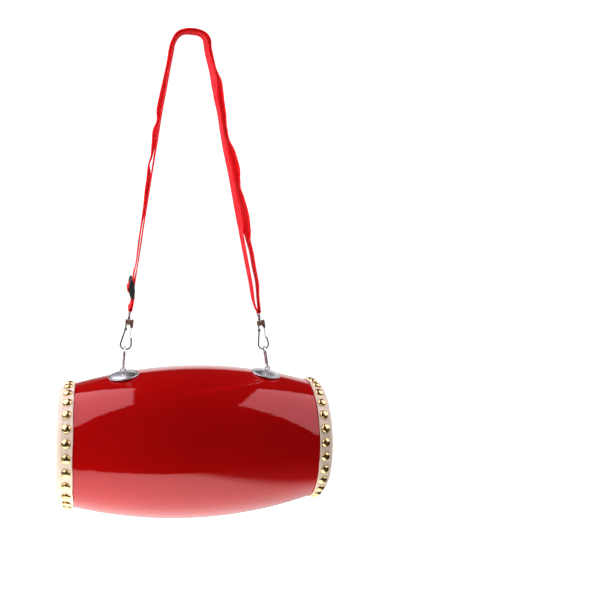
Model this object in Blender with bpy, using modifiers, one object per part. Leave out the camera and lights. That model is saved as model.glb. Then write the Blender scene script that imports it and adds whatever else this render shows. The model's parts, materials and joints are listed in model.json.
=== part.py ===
"""Two-headed barrel drum that hangs on an adjustable shoulder strap.

Metres, +Z up. The origin is the underside of the strap's top, where a shoulder or a peg carries it.
The drum's axis runs along X. Left and right are those of someone who faces the drum from -Y.
"""

import math

import bmesh
import bpy
from mathutils import Matrix, Vector

# Clearances: between pieces that touch, and where one wire hangs in another
GAP = 0.0003
PIVOT_GAP = 0.00045

# Drum shell: a turned barrel, its outside one circular arc from end to end
DRUM_LENGTH = 0.280
BELLY_RADIUS = 0.081
END_RADIUS = 0.0595
SHELL_WALL = 0.009
SHELL_EDGE_ROUND = 0.005
DRUM_DROP = 0.4194
DRUM_SHIFT = 0.016

# Skins and the domed tacks that hold them
SKIN_THICKNESS = 0.0012
SKIN_SKIRT = 0.0138
TACK_COUNT = 27
TACK_RADIUS = 0.005
TACK_HEIGHT = 0.0032
TACK_SINK = 0.0005
TACK_INSET = 0.0078
TACK_START = {"left": math.radians(23.4), "right": math.radians(17.0)}

# Domed plates on top of the shell, and the eye pins that hold them down
PLATE_REACH = 0.0753
PLATE_RADIUS = 0.01575
PLATE_FLANGE = 0.0026
PLATE_THICKNESS = 0.001
PLATE_DOME = 0.0035
EYE_WIRE = 0.00135
EYE_RING = 0.0065
EYE_LEG_GAP = 0.0004
EYE_LEG_SPREAD = 0.007
EYE_LEG_BEND = 0.0012
EYE_LEG_PLAY = 0.0007

# Oval links between the eye pins and the hooks
LINK_LENGTH = 0.026
LINK_WIDTH = 0.012
LINK_WIRE = 0.002
LINK_LEAN = {"left": math.radians(3.7), "right": math.radians(-10.8)}

# Wire hooks, measured from the bottom of the bowl along the stem
HOOK_WIRE = 0.0015
HOOK_BOWL = 0.0054
HOOK_TIP_SIDE = 0.0047
HOOK_TIP_RISE = 0.0126
SPINE_SIDE = -0.00165
SPINE_KNEE = 0.024
STEM_LEAN = {"left": math.radians(5.8), "right": math.radians(-12.2)}
LINK_SEAT_SIDE = {"left": -0.0005, "right": 0.0003}

# Knuckle: a grooved tube across the stem that carries swivel, spine and gate
KNUCKLE_RISE = 0.0292
KNUCKLE_RADIUS = 0.003
KNUCKLE_BORE = 0.002
KNUCKLE_LEFT = -0.0029
KNUCKLE_RIGHT = 0.005
GROOVE_COUNT = 3
GROOVE_DEPTH = 0.0004
GROOVE_WIDTH = 0.0006
EAR_THICKNESS = 0.0008
EAR_RADIUS = 0.00125
CRIMP_RISE = 0.0215
CRIMP_LENGTH = 0.003
CRIMP_WALL = 0.0005

# Sprung gates
GATE_PIN_SIDE = 0.0036
GATE_PIN_DROP = 0.0044
GATE_PIN_RADIUS = 0.00045
GATE_PIN_HEAD = 0.0009
GATE_PIN_HEAD_HEIGHT = 0.0004
GATE_EYELET = 0.00115
GATE_STRIP = 0.0005
GATE_WIDTH = 0.003
GATE_LAP = 0.001

# Swivel eyes
POST_RADIUS = 0.0008
POST_HEAD_RADIUS = 0.00115
POST_HEAD_HEIGHT = 0.0008
POST_HEAD_RISE = 0.0005
COLLAR_RADIUS = 0.0013
COLLAR_HEIGHT = 0.002
SWIVEL_WIRE = 0.0015
SWIVEL_EYE_HEIGHT = 0.0095
SWIVEL_EYE_FOOT = 0.007
SWIVEL_EYE_CORNER = 0.0016

# Strap webbing
WEBBING_WIDTH = 0.018
WEBBING_THICKNESS = 0.0011
WEBBING_SIDE_PLAY = 0.0004
LAYER_GAP = 0.0004
STRAP_STEP = 0.007
STRAP_CUT = 0.155
SEWN_TAIL = 0.009
SEWN_TAIL_START = 0.0045
SLIDER_SLACK = 0.0009

# Slider: three bars between two cheeks that bulge to the left
SLIDER_RISE = 0.0215
SLIDER_TILT = math.radians(-12.0)
SLIDER_HALF_LENGTH = 0.0104
SLIDER_RIGHT_DEPTH = 0.0018
SLIDER_LEFT_DEPTH = 0.0026
SLIDER_CHEEK = 0.0022
SLIDER_BAR_RADIUS = 0.001
SLIDER_BAR_PITCH = 0.0085

# Facets
TURN_STEPS = 44
SMALL_TURN_STEPS = 16
BARREL_STEPS = 12
WIRE_RESOLUTION = 2

# Where the strap's two layers bend over its top: x, z and the webbing's turn, by which its far edge
# leans into the loop, in degrees
TOP_INNER = [
    (-0.0160, -0.0096, 3), (-0.0119, -0.0025, 4), (-0.0078, 0.0004, 5), (0.0016, 0.0012, 5),
    (0.0091, 0.0003, 6), (0.0127, -0.0024, 7), (0.0145, -0.0078, 8),
]
TOP_OUTER = [
    (0.0189, -0.0124, 0), (0.0164, -0.0018, 2), (0.0134, 0.0010, 4), (0.0067, 0.0034, 5),
    (-0.0007, 0.0039, 5), (-0.0071, 0.0028, 5), (-0.0134, -0.0006, 4), (-0.0176, -0.0079, 3),
]
LEFT_TOP = Vector((-0.0174, 0.0, -0.0174))
LEFT_TOP_TURN = 4
RIGHT_TOP = Vector((0.0155, 0.0, -0.0134))
RIGHT_TOP_TURN = 8

# How each layer wanders from the straight line between an eye and the strap's top:
# share of the way up, distance to the right of the line, turn of the webbing in degrees
LEFT_INNER = [
    (0.18, 0.0003, 4), (0.28, 0.0, 5), (0.36, -0.0003, 5), (0.44, -0.0005, 6), (0.56, -0.0007, 6),
    (0.64, -0.0008, 7), (0.69, -0.0011, 9), (0.80, -0.0011, 8), (0.86, -0.0008, 9), (0.93, -0.0005, 6),
]
LEFT_OUTER = [
    (0.17, -0.0016, 4), (0.28, -0.0023, 5), (0.34, -0.0024, 6), (0.40, -0.0022, 10), (0.48, -0.0031, 12),
    (0.54, -0.0036, 12), (0.57, -0.0048, 6), (0.61, -0.0031, 8), (0.65, -0.0036, 13), (0.70, -0.0045, 14),
    (0.74, -0.0031, 9), (0.78, -0.0041, 14), (0.84, -0.0037, 13), (0.89, -0.0032, 11), (0.95, -0.0025, 7),
]
RIGHT_INNER = [
    (0.03, -0.0026, -2), (0.10, -0.0020, -3), (0.20, -0.0018, -2), (0.28, -0.0017, -2), (0.32, -0.0015, 1),
    (0.365, -0.0005, 13), (0.41, -0.0004, 13), (0.46, -0.0006, 9), (0.54, -0.0005, 8), (0.64, -0.0008, 8),
    (0.70, -0.0009, 4), (0.77, -0.0002, 3), (0.84, -0.0002, 5), (0.88, 0.0009, 12), (0.93, 0.0011, 11),
]
RIGHT_OUTER = [
    (0.065, 0.0033, -6), (0.10, 0.0046, -4), (0.17, 0.0047, 2), (0.24, 0.0050, 4), (0.285, 0.0042, 10),
    (0.32, 0.0046, 16), (0.37, 0.0061, 15), (0.41, 0.0061, 15), (0.455, 0.0052, 15), (0.49, 0.0045, 13),
    (0.52, 0.0048, 12), (0.56, 0.0056, 16), (0.62, 0.0051, 15), (0.68, 0.0031, 8), (0.72, 0.0029, 6),
    (0.77, 0.0038, 9), (0.84, 0.0044, 10), (0.88, 0.0060, 7), (0.93, 0.0048, 1),
]
LOOP_MIDDLE = Vector((0.012, 0.0, -0.15))

SHELL_HALF = DRUM_LENGTH / 2 - SKIN_THICKNESS - GAP
BARREL_SAG = BELLY_RADIUS - END_RADIUS
BARREL_ARC = (SHELL_HALF**2 + BARREL_SAG**2) / (2 * BARREL_SAG)
DRUM_CENTRE = Vector((DRUM_SHIFT, 0.0, -DRUM_DROP))
LAYER_PITCH = WEBBING_THICKNESS + LAYER_GAP
FOLD_RADIUS = SWIVEL_WIRE / 2 + GAP + WEBBING_THICKNESS / 2
SIDE_SIGN = {"left": -1, "right": 1}


def barrel_radius(x):
    """Outer radius of the shell at a distance x from its middle."""
    return BELLY_RADIUS - BARREL_ARC + math.sqrt(BARREL_ARC**2 - x**2)


def leaning_frame(origin, lean):
    """Frame at origin whose Z axis leans towards +X by the given angle, with Y unchanged."""
    return Matrix.Translation(origin) @ Matrix.Rotation(lean, 4, "Y")


def material(name, colour, roughness, metallic=0.0):
    made = bpy.data.materials.new(name)
    made.use_nodes = True
    shader = made.node_tree.nodes["Principled BSDF"]
    shader.inputs["Base Color"].default_value = (*colour, 1.0)
    shader.inputs["Roughness"].default_value = roughness
    shader.inputs["Metallic"].default_value = metallic
    return made


class Workshop:
    """The collections that finished pieces and helper shapes go into, and the finishes."""

    def __init__(self):
        for old in list(bpy.data.objects):
            bpy.data.objects.remove(old, do_unlink=True)
        self.parts = bpy.data.collections.new("tom_tom_drum")
        self.helpers = bpy.data.collections.new("cutters")
        bpy.context.scene.collection.children.link(self.parts)
        bpy.context.scene.collection.children.link(self.helpers)
        self.lacquer = material("red lacquer", (0.42, 0.006, 0.008), 0.12)
        self.hide = material("drum skin", (0.86, 0.78, 0.66), 0.6)
        self.brass = material("tack brass", (0.78, 0.58, 0.25), 0.25, 1.0)
        self.plate_steel = material("plate steel", (0.62, 0.62, 0.62), 0.3, 1.0)
        self.eye_steel = material("eye pin steel", (0.66, 0.66, 0.66), 0.3, 1.0)
        self.link_steel = material("link steel", (0.60, 0.60, 0.61), 0.28, 1.0)
        self.hook_steel = material("hook steel", (0.42, 0.41, 0.40), 0.3, 1.0)
        self.knuckle_steel = material("knuckle steel", (0.38, 0.31, 0.28), 0.32, 1.0)
        self.gate_steel = material("gate spring steel", (0.75, 0.75, 0.75), 0.22, 1.0)
        self.webbing = material("red webbing", (0.72, 0.012, 0.02), 0.75)
        self.black_plastic = material("black plastic", (0.012, 0.011, 0.011), 0.4)

    def add(self, name, data, finish, frame):
        """A finished piece whose own axes are those of the given frame."""
        piece = bpy.data.objects.new(name, data)
        piece.matrix_world = frame
        if finish is not None:
            data.materials.append(finish)
        self.parts.objects.link(piece)
        return piece

    def put_aside(self, piece):
        """Turns a piece into a helper that only cuts or joins another one."""
        self.parts.objects.unlink(piece)
        self.helpers.objects.link(piece)
        piece.hide_render = True
        piece.display_type = "WIRE"
        return piece

    def pivot(self, name, location, pieces):
        """An empty on a joint's axis that carries the given pieces."""
        empty = bpy.data.objects.new(name, None)
        empty.empty_display_size = 0.01
        empty.location = location
        self.parts.objects.link(empty)
        bpy.context.view_layer.update()
        for piece in pieces:
            piece.parent = empty
            piece.matrix_parent_inverse = empty.matrix_world.inverted()

    def turned(self, name, profile, steps, finish, frame, closed=False):
        """A profile of (radius, height) points, spun round the frame's Z axis."""
        mesh = bpy.data.meshes.new(name)
        edges = [(i, i + 1) for i in range(len(profile) - 1)]
        if closed:
            edges.append((len(profile) - 1, 0))
        mesh.from_pydata([(r, 0.0, z) for r, z in profile], edges, [])
        piece = self.add(name, mesh, finish, frame)
        spin = piece.modifiers.new("turn", "SCREW")
        spin.axis = "Z"
        spin.steps = steps
        spin.render_steps = steps
        spin.use_merge_vertices = True
        spin.merge_threshold = 0.00001
        spin.use_smooth_shade = True
        return piece

    def wire(self, name, points, diameter, finish, frame, closed=False):
        """A round wire along the given points."""
        curve = bpy.data.curves.new(name, "CURVE")
        curve.dimensions = "3D"
        curve.bevel_depth = diameter / 2
        curve.bevel_resolution = WIRE_RESOLUTION
        curve.use_fill_caps = True
        self.add_spline(curve, points, closed)
        return self.add(name, curve, finish, frame)

    def flat(self, name, outlines, thickness, finish, frame):
        """Closed outlines in the frame's XY plane, filled and given a thickness about that plane."""
        curve = bpy.data.curves.new(name, "CURVE")
        curve.dimensions = "2D"
        curve.fill_mode = "BOTH"
        curve.extrude = thickness / 2
        for outline in outlines:
            self.add_spline(curve, [(x, y, 0.0) for x, y in outline], True)
        return self.add(name, curve, finish, frame)

    @staticmethod
    def add_spline(curve, points, closed):
        spline = curve.splines.new("POLY")
        spline.points.add(len(points) - 1)
        for spot, point in zip(spline.points, points):
            spot.co = (*point, 1.0)
        spline.use_cyclic_u = closed

    def rod(self, name, radius, length, finish, frame, sides=SMALL_TURN_STEPS):
        """A plain round bar, centred on the frame and along its Z axis."""
        shape = bmesh.new()
        bmesh.ops.create_cone(
            shape, cap_ends=True, segments=sides, radius1=radius, radius2=radius, depth=length
        )
        mesh = bpy.data.meshes.new(name)
        shape.to_mesh(mesh)
        shape.free()
        return self.add(name, mesh, finish, frame)

    def prism(self, name, outline, thickness, finish, frame):
        """An outline in the frame's XY plane, given a thickness about that plane."""
        shape = bmesh.new()
        base = shape.faces.new([shape.verts.new((x, y, -thickness / 2)) for x, y in outline])
        grown = bmesh.ops.extrude_face_region(shape, geom=[base])
        lifted = [item for item in grown["geom"] if isinstance(item, bmesh.types.BMVert)]
        bmesh.ops.translate(shape, vec=(0.0, 0.0, thickness), verts=lifted)
        bmesh.ops.recalc_face_normals(shape, faces=shape.faces)
        mesh = bpy.data.meshes.new(name)
        shape.to_mesh(mesh)
        shape.free()
        return self.add(name, mesh, finish, frame)

    def solid(self, curve_piece):
        """Replaces a curve by the mesh that it shows, with its caps welded on."""
        bpy.context.view_layer.update()
        shown = curve_piece.evaluated_get(bpy.context.evaluated_depsgraph_get())
        mesh = bpy.data.meshes.new_from_object(shown)
        shape = bmesh.new()
        shape.from_mesh(mesh)
        bmesh.ops.remove_doubles(shape, verts=shape.verts, dist=0.000001)
        bmesh.ops.recalc_face_normals(shape, faces=shape.faces)
        shape.to_mesh(mesh)
        shape.free()
        name = curve_piece.name
        frame = curve_piece.matrix_world.copy()
        bpy.data.objects.remove(curve_piece, do_unlink=True)
        return self.add(name, mesh, None, frame)

    def combine(self, piece, helper, operation):
        change = piece.modifiers.new(helper.name, "BOOLEAN")
        change.operation = operation
        change.object = self.put_aside(helper)
        change.material_mode = "TRANSFER"


def arc(centre, radius, start, end, steps):
    """Points of a circular arc in a plane, both ends included."""
    turns = [start + (end - start) * i / steps for i in range(steps + 1)]
    return [(centre[0] + radius * math.cos(a), centre[1] + radius * math.sin(a)) for a in turns]


def circle(centre, radius, steps):
    return arc(centre, radius, 0.0, 2 * math.pi, steps)[:-1]


def rounded(corners, radius, steps, closed):
    """A path through the corners, each rounded by an arc of the given radius."""
    path = []
    count = len(corners)
    for i, corner in enumerate(corners):
        if not closed and i in (0, count - 1):
            path.append(corner)
            continue
        back = (corners[i - 1] - corner).normalized()
        ahead = (corners[(i + 1) % count] - corner).normalized()
        half = back.angle(ahead) / 2
        centre = corner + (back + ahead).normalized() * radius / math.sin(half)
        start = corner + back * radius / math.tan(half) - centre
        end = corner + ahead * radius / math.tan(half) - centre
        for step in range(steps + 1):
            path.append(centre + start.slerp(end, step / steps).normalized() * radius)
    return path


def edge_round(extra):
    """The rounded rim of the shell, or a surface that much outside it, from the end face to the side."""
    rise = SHELL_HALF - SHELL_EDGE_ROUND
    centre = (barrel_radius(rise) - SHELL_EDGE_ROUND, rise)
    return arc(centre, SHELL_EDGE_ROUND + extra, math.pi / 2, 0.0, 3)


def shell_profile():
    rim = edge_round(0.0)
    reach = SHELL_HALF - SHELL_EDGE_ROUND
    side = [reach - 2 * reach * i / BARREL_STEPS for i in range(1, BARREL_STEPS)]
    outside = rim + [(barrel_radius(z), z) for z in side] + [(r, -z) for r, z in reversed(rim)]
    bore = [-SHELL_HALF + 2 * SHELL_HALF * i / BARREL_STEPS for i in range(BARREL_STEPS + 1)]
    return outside + [(barrel_radius(z) - SHELL_WALL, z) for z in bore]


def drum_axis_frame(side):
    """Frame at the drum's middle whose Z axis runs out through one head."""
    return Matrix.Translation(DRUM_CENTRE) @ Matrix.Rotation(side * math.pi / 2, 4, "Y")


def build_shell(shop):
    return shop.turned(
        "drum_shell", shell_profile(), TURN_STEPS, shop.lacquer, drum_axis_frame(1), closed=True
    )


def head_profile():
    outer = GAP + SKIN_THICKNESS
    low = SHELL_HALF - SKIN_SKIRT
    high = SHELL_HALF - SHELL_EDGE_ROUND
    skirt = [high + (low - high) * i / 2 for i in range(1, 3)]
    outside = [(barrel_radius(z) + outer, z) for z in skirt]
    inside = [(barrel_radius(z) + GAP, z) for z in reversed(skirt)]
    top = [(0.0, SHELL_HALF + outer)] + edge_round(outer)
    under = edge_round(GAP)[::-1] + [(0.0, SHELL_HALF + GAP)]
    return top + outside + inside + under


def tack_ring(shop, name, start, side):
    """All the tacks of one head: domes square to the skin, a little sunk into it."""
    height = SHELL_HALF - TACK_INSET
    tilt = math.asin(height / BARREL_ARC)
    radius = barrel_radius(height) + GAP + SKIN_THICKNESS
    shape = bmesh.new()
    for i in range(TACK_COUNT):
        dome = bmesh.ops.create_uvsphere(shape, u_segments=8, v_segments=6, radius=TACK_RADIUS)
        for vert in dome["verts"]:
            depth = TACK_HEIGHT if vert.co.z > 0 else TACK_SINK
            vert.co.z *= depth / TACK_RADIUS
        turn = start + 2 * math.pi * i / TACK_COUNT
        around = math.atan2(-math.cos(turn), -side * math.sin(turn))
        seat = (
            Matrix.Rotation(around, 4, "Z")
            @ Matrix.Translation((radius, 0.0, height))
            @ Matrix.Rotation(math.pi / 2 - tilt, 4, "Y")
        )
        bmesh.ops.transform(shape, matrix=seat, verts=dome["verts"])
    mesh = bpy.data.meshes.new(name)
    shape.to_mesh(mesh)
    shape.free()
    return shop.add(name, mesh, shop.brass, drum_axis_frame(side))


def build_head(shop, hand):
    side = SIDE_SIGN[hand]
    head = shop.turned(f"{hand}_head", head_profile(), TURN_STEPS, shop.hide, drum_axis_frame(side))
    shop.combine(head, tack_ring(shop, f"{hand}_tacks", TACK_START[hand], side), "UNION")
    return head


class Chain:
    """Where the pieces of one side hang, from the plate on the shell up to the strap's eye."""

    def __init__(self, hand):
        x = SIDE_SIGN[hand] * PLATE_REACH
        seat = DRUM_CENTRE + Vector((x, 0.0, barrel_radius(x)))
        self.plate = leaning_frame(seat, math.asin(x / BARREL_ARC))
        ring = self.plate @ Vector((0.0, 0.0, eye_ring_rise()))
        self.staple = leaning_frame(ring, LINK_LEAN[hand]) @ Vector((0.0, 0.0, eye_ring_radius()))
        self.link = leaning_frame(self.staple, LINK_LEAN[hand])
        span = LINK_LENGTH - LINK_WIRE - link_seat(EYE_WIRE) - link_seat(HOOK_WIRE)
        self.bowl = self.link @ Vector((0.0, 0.0, span))
        side = LINK_SEAT_SIDE[hand]
        seat_rise = HOOK_BOWL - math.sqrt(HOOK_BOWL**2 - side**2)
        self.hook = leaning_frame(self.bowl, STEM_LEAN[hand]) @ Matrix.Translation((-side, 0.0, -seat_rise))
        self.eye = self.hook @ Vector((0.0, 0.0, eye_bar_rise()))

    def hook_side(self):
        """The hook's frame with its outline plane as XY."""
        return self.hook @ Matrix.Rotation(math.pi / 2, 4, "X")

    def gate_pin(self):
        return self.hook @ Vector((GATE_PIN_SIDE, 0.0, gate_pin_rise()))


def link_seat(wire):
    """From a wire's centre to the centre of the link that hangs on it."""
    return wire / 2 + PIVOT_GAP + LINK_WIRE / 2


def eye_bar_rise():
    return KNUCKLE_RISE + KNUCKLE_RADIUS + 2 * GAP + COLLAR_HEIGHT + SWIVEL_EYE_HEIGHT


def gate_pin_rise():
    return KNUCKLE_RISE - GATE_PIN_DROP


def plate_lift():
    """Height of the plate's flat rim over the shell's crown, so that its ends just clear the barrel."""
    return GAP - (BARREL_ARC - math.sqrt(BARREL_ARC**2 - PLATE_RADIUS**2))


def eye_leg_side():
    return (EYE_WIRE + EYE_LEG_GAP) / 2


def eye_hole_radius():
    return eye_leg_side() + EYE_WIRE / 2 + GAP


def eye_ring_radius():
    return (EYE_RING - EYE_WIRE) / 2


def eye_ring_rise():
    """Height of the eye ring's centre: the ring sits on the dome beside the hole that its legs go through."""
    seat = math.sqrt((EYE_RING / 2) ** 2 - eye_hole_radius() ** 2)
    return plate_lift() + PLATE_DOME + GAP + seat


def build_plate(shop, hand, chain):
    hole = eye_hole_radius()
    foot = PLATE_RADIUS - PLATE_FLANGE
    rise = PLATE_DOME - PLATE_THICKNESS
    shares = [i / 5 for i in range(6)]
    radii = [hole + (foot - hole) * share for share in shares]
    heights = [plate_lift() + rise * (1 - share**2) for share in shares]
    over = [(r, z + PLATE_THICKNESS) for r, z in zip(radii, heights)]
    under = list(zip(radii, heights))[::-1]
    rim = [(PLATE_RADIUS, plate_lift() + PLATE_THICKNESS), (PLATE_RADIUS, plate_lift())]
    return shop.turned(
        f"{hand}_plate", over + rim + under, SMALL_TURN_STEPS + 8, shop.plate_steel, chain.plate, closed=True
    )


def build_eye_pin(shop, hand, chain, shell):
    """A split pin: a ring over the plate and two legs that are spread inside the shell."""
    side = eye_leg_side()
    ring = eye_ring_radius()
    opening = math.asin(side / ring)
    inside = -(SHELL_WALL + EYE_LEG_PLAY + EYE_WIRE / 2)
    leg_top = eye_ring_rise() - ring * math.cos(opening)
    corners = [
        Vector((side + EYE_LEG_SPREAD, 0.0, inside - GAP)),
        Vector((side, 0.0, inside)),
        Vector((side, 0.0, leg_top)),
    ]
    leg = rounded(corners, EYE_LEG_BEND, 3, False)
    loop = arc((0.0, eye_ring_rise()), ring, opening - math.pi / 2, 1.5 * math.pi - opening, 16)
    path = leg + [Vector((x, 0.0, z)) for x, z in loop[1:-1]]
    path += [Vector((-p.x, 0.0, p.z)) for p in reversed(leg)]
    hole = shop.rod(f"{hand}_eye_hole", eye_hole_radius(), 4 * SHELL_WALL, None, chain.plate)
    shop.combine(shell, hole, "DIFFERENCE")
    return shop.wire(f"{hand}_eye_pin", path, EYE_WIRE, shop.eye_steel, chain.plate)


def build_link(shop, hand, chain):
    half_width = (LINK_WIDTH - LINK_WIRE) / 2
    reach = (LINK_LENGTH - LINK_WIDTH) / 2
    middle = (LINK_LENGTH - LINK_WIRE) / 2 - link_seat(EYE_WIRE)
    outline = arc((0.0, middle + reach), half_width, 0.0, math.pi, 8)
    outline += arc((0.0, middle - reach), half_width, math.pi, 2 * math.pi, 8)
    path = [(0.0, y, z) for y, z in outline]
    return shop.wire(f"{hand}_link", path, LINK_WIRE, shop.link_steel, chain.link, closed=True)


def spine_at(rise):
    """Sideways place of the hook's spine at a height over the bowl."""
    share = (rise - HOOK_BOWL) / (SPINE_KNEE - HOOK_BOWL)
    return -HOOK_BOWL + (SPINE_SIDE + HOOK_BOWL) * share


def build_hook(shop, hand, chain):
    bowl = arc((0.0, HOOK_BOWL), HOOK_BOWL, 0.0, -math.pi, 10)
    outline = [(HOOK_TIP_SIDE, HOOK_TIP_RISE)] + bowl
    outline += [(SPINE_SIDE, SPINE_KNEE), (SPINE_SIDE, KNUCKLE_RISE)]
    path = [(x, 0.0, z) for x, z in outline]
    return shop.wire(f"{hand}_hook", path, HOOK_WIRE, shop.hook_steel, chain.hook)


def build_crimp(shop, hand, chain):
    """A short sleeve pressed round the spine under the knuckle."""
    bore = HOOK_WIRE / 2 + GAP
    outer = bore + CRIMP_WALL
    half = CRIMP_LENGTH / 2
    lean = math.atan2(SPINE_SIDE + HOOK_BOWL, SPINE_KNEE - HOOK_BOWL)
    frame = chain.hook @ leaning_frame(Vector((spine_at(CRIMP_RISE), 0.0, CRIMP_RISE)), lean)
    profile = [(bore, half), (outer, half), (outer, -half), (bore, -half)]
    return shop.turned(f"{hand}_crimp", profile, SMALL_TURN_STEPS, shop.gate_steel, frame, closed=True)


def knuckle_profile():
    """A tube with shallow grooves, from its right end to its left end."""
    pitch = (KNUCKLE_RIGHT - KNUCKLE_LEFT) / (GROOVE_COUNT + 1)
    low = KNUCKLE_RADIUS - GROOVE_DEPTH
    profile = [(KNUCKLE_BORE, KNUCKLE_RIGHT), (KNUCKLE_RADIUS, KNUCKLE_RIGHT)]
    for i in range(1, GROOVE_COUNT + 1):
        middle = KNUCKLE_RIGHT - i * pitch
        profile.append((KNUCKLE_RADIUS, middle + GROOVE_WIDTH))
        profile.append((low, middle + GROOVE_WIDTH / 2))
        profile.append((low, middle - GROOVE_WIDTH / 2))
        profile.append((KNUCKLE_RADIUS, middle - GROOVE_WIDTH))
    return profile + [(KNUCKLE_RADIUS, KNUCKLE_LEFT), (KNUCKLE_BORE, KNUCKLE_LEFT)]


def build_knuckle(shop, hand, chain):
    across = chain.hook @ Matrix.Translation((0.0, 0.0, KNUCKLE_RISE)) @ Matrix.Rotation(math.pi / 2, 4, "Y")
    knuckle = shop.turned(
        f"{hand}_knuckle", knuckle_profile(), SMALL_TURN_STEPS, shop.knuckle_steel, across, closed=True
    )
    ear_side = GATE_WIDTH / 2 + GAP + EAR_THICKNESS / 2
    wall_middle = (KNUCKLE_RADIUS + KNUCKLE_BORE) / 2
    ear_top = KNUCKLE_RISE - math.sqrt(max(wall_middle**2 - (ear_side - EAR_THICKNESS / 2) ** 2, 0.0))
    tab = arc((GATE_PIN_SIDE, gate_pin_rise()), EAR_RADIUS, -math.pi, 0.0, 8)
    tab += [(GATE_PIN_SIDE + EAR_RADIUS, ear_top), (GATE_PIN_SIDE - EAR_RADIUS, ear_top)]
    pin_hole = circle((GATE_PIN_SIDE, gate_pin_rise()), GATE_PIN_RADIUS + GAP, 12)
    for place, y in (("front", -ear_side), ("back", ear_side)):
        frame = chain.hook @ Matrix.Translation((0.0, y, 0.0)) @ Matrix.Rotation(math.pi / 2, 4, "X")
        ear = shop.flat(f"{hand}_{place}_ear", [tab, pin_hole], EAR_THICKNESS, None, frame)
        shop.combine(knuckle, shop.solid(ear), "UNION")
    bores = {"swivel_hole": (0.0, POST_RADIUS, 1), "spine_hole": (SPINE_SIDE, HOOK_WIRE / 2, -1)}
    for name, (side, radius, way) in bores.items():
        frame = chain.hook @ Matrix.Translation((side, 0.0, KNUCKLE_RISE + way * KNUCKLE_RADIUS))
        hole = shop.rod(f"{hand}_{name}", radius + GAP, 2 * KNUCKLE_BORE, None, frame)
        shop.combine(knuckle, hole, "DIFFERENCE")
    return knuckle


def gate_tail():
    """From the gate's pin to its free end, which rests inside the hook's tip."""
    end_side = HOOK_TIP_SIDE - HOOK_WIRE / 2 - GAP - GATE_STRIP / 2
    return Vector((end_side - GATE_PIN_SIDE, HOOK_TIP_RISE - GATE_LAP - gate_pin_rise()))


def build_gate(shop, hand, chain):
    tail = gate_tail()
    along = tail.normalized()
    across = Vector((-along.y, along.x)) * GATE_STRIP / 2
    heading = math.atan2(along.y, along.x)
    mouth = math.asin(GATE_STRIP / 2 / GATE_EYELET)
    outline = arc((0.0, 0.0), GATE_EYELET, heading + mouth, heading + 2 * math.pi - mouth, 14)
    outline += [tuple(tail - across), tuple(tail + across)]
    bore = circle((0.0, 0.0), GATE_PIN_RADIUS + GAP, 12)
    frame = Matrix.Translation(chain.gate_pin() - chain.hook.translation) @ chain.hook_side()
    return shop.flat(f"{hand}_gate", [outline, bore], GATE_WIDTH, shop.gate_steel, frame)


def build_gate_pin(shop, hand, chain):
    """A headed rivet across the knuckle's two ears."""
    half = GATE_WIDTH / 2 + 2 * GAP + EAR_THICKNESS
    end = half + GATE_PIN_HEAD_HEIGHT
    side = [(0.0, end), (GATE_PIN_HEAD, end), (GATE_PIN_HEAD, half), (GATE_PIN_RADIUS, half)]
    profile = side + [(r, -z) for r, z in reversed(side)]
    frame = Matrix.Translation(chain.gate_pin() - chain.hook.translation) @ chain.hook_side()
    return shop.turned(f"{hand}_gate_pin", profile, 12, shop.hook_steel, frame)


def build_swivel_eye(shop, hand, chain):
    """A flat-topped wire eye on a headed post that turns in the knuckle."""
    head_low = KNUCKLE_RISE + POST_HEAD_RISE
    head_high = head_low + POST_HEAD_HEIGHT
    collar_low = KNUCKLE_RISE + KNUCKLE_RADIUS + 2 * GAP
    collar_high = collar_low + COLLAR_HEIGHT
    profile = [
        (0.0, collar_high), (COLLAR_RADIUS, collar_high), (COLLAR_RADIUS, collar_low), (POST_RADIUS, collar_low),
        (POST_RADIUS, head_high), (POST_HEAD_RADIUS, head_high), (POST_HEAD_RADIUS, head_low), (0.0, head_low),
    ]
    swivel = shop.turned(f"{hand}_swivel_eye", profile, 16, shop.hook_steel, chain.hook)
    half = WEBBING_WIDTH / 2 + WEBBING_SIDE_PLAY + SWIVEL_EYE_CORNER
    foot = SWIVEL_EYE_FOOT / 2
    bar = eye_bar_rise()
    low = collar_high
    shoulder = bar - SWIVEL_EYE_HEIGHT / 2
    outline = [(half, bar), (-half, bar), (-half, shoulder), (-foot, low), (foot, low), (half, shoulder)]
    corners = [Vector((0.0, y, z)) for y, z in outline]
    path = rounded(corners, SWIVEL_EYE_CORNER, 3, True)
    loop = shop.wire(f"{hand}_swivel_loop", path, SWIVEL_WIRE, None, chain.hook, closed=True)
    shop.combine(swivel, shop.solid(loop), "UNION")
    return swivel


class Leg:
    """The straight line from a strap eye up to the strap's top, and places measured from it."""

    def __init__(self, eye, top):
        self.eye = eye
        self.length = (top - eye).length
        self.up = (top - eye).normalized()
        self.right = Vector((self.up.z, 0.0, -self.up.x))

    def spot(self, side, rise, turn):
        """A point of the strap's route: its place and the webbing's turn in degrees."""
        return (self.eye + self.right * side + self.up * rise, turn)

    def wander(self, table):
        return [self.spot(side, share * self.length, turn) for share, side, turn in table]

    def bend(self, centre, radius, start, end, steps):
        """Part of a circle in the leg's own plane, as where webbing goes round a bar."""
        return [self.spot(side, rise, 0) for side, rise in arc(centre, radius, start, end, steps)]


def top_spots(table):
    return [(Vector((x, 0.0, z)), turn) for x, z, turn in table]


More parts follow.
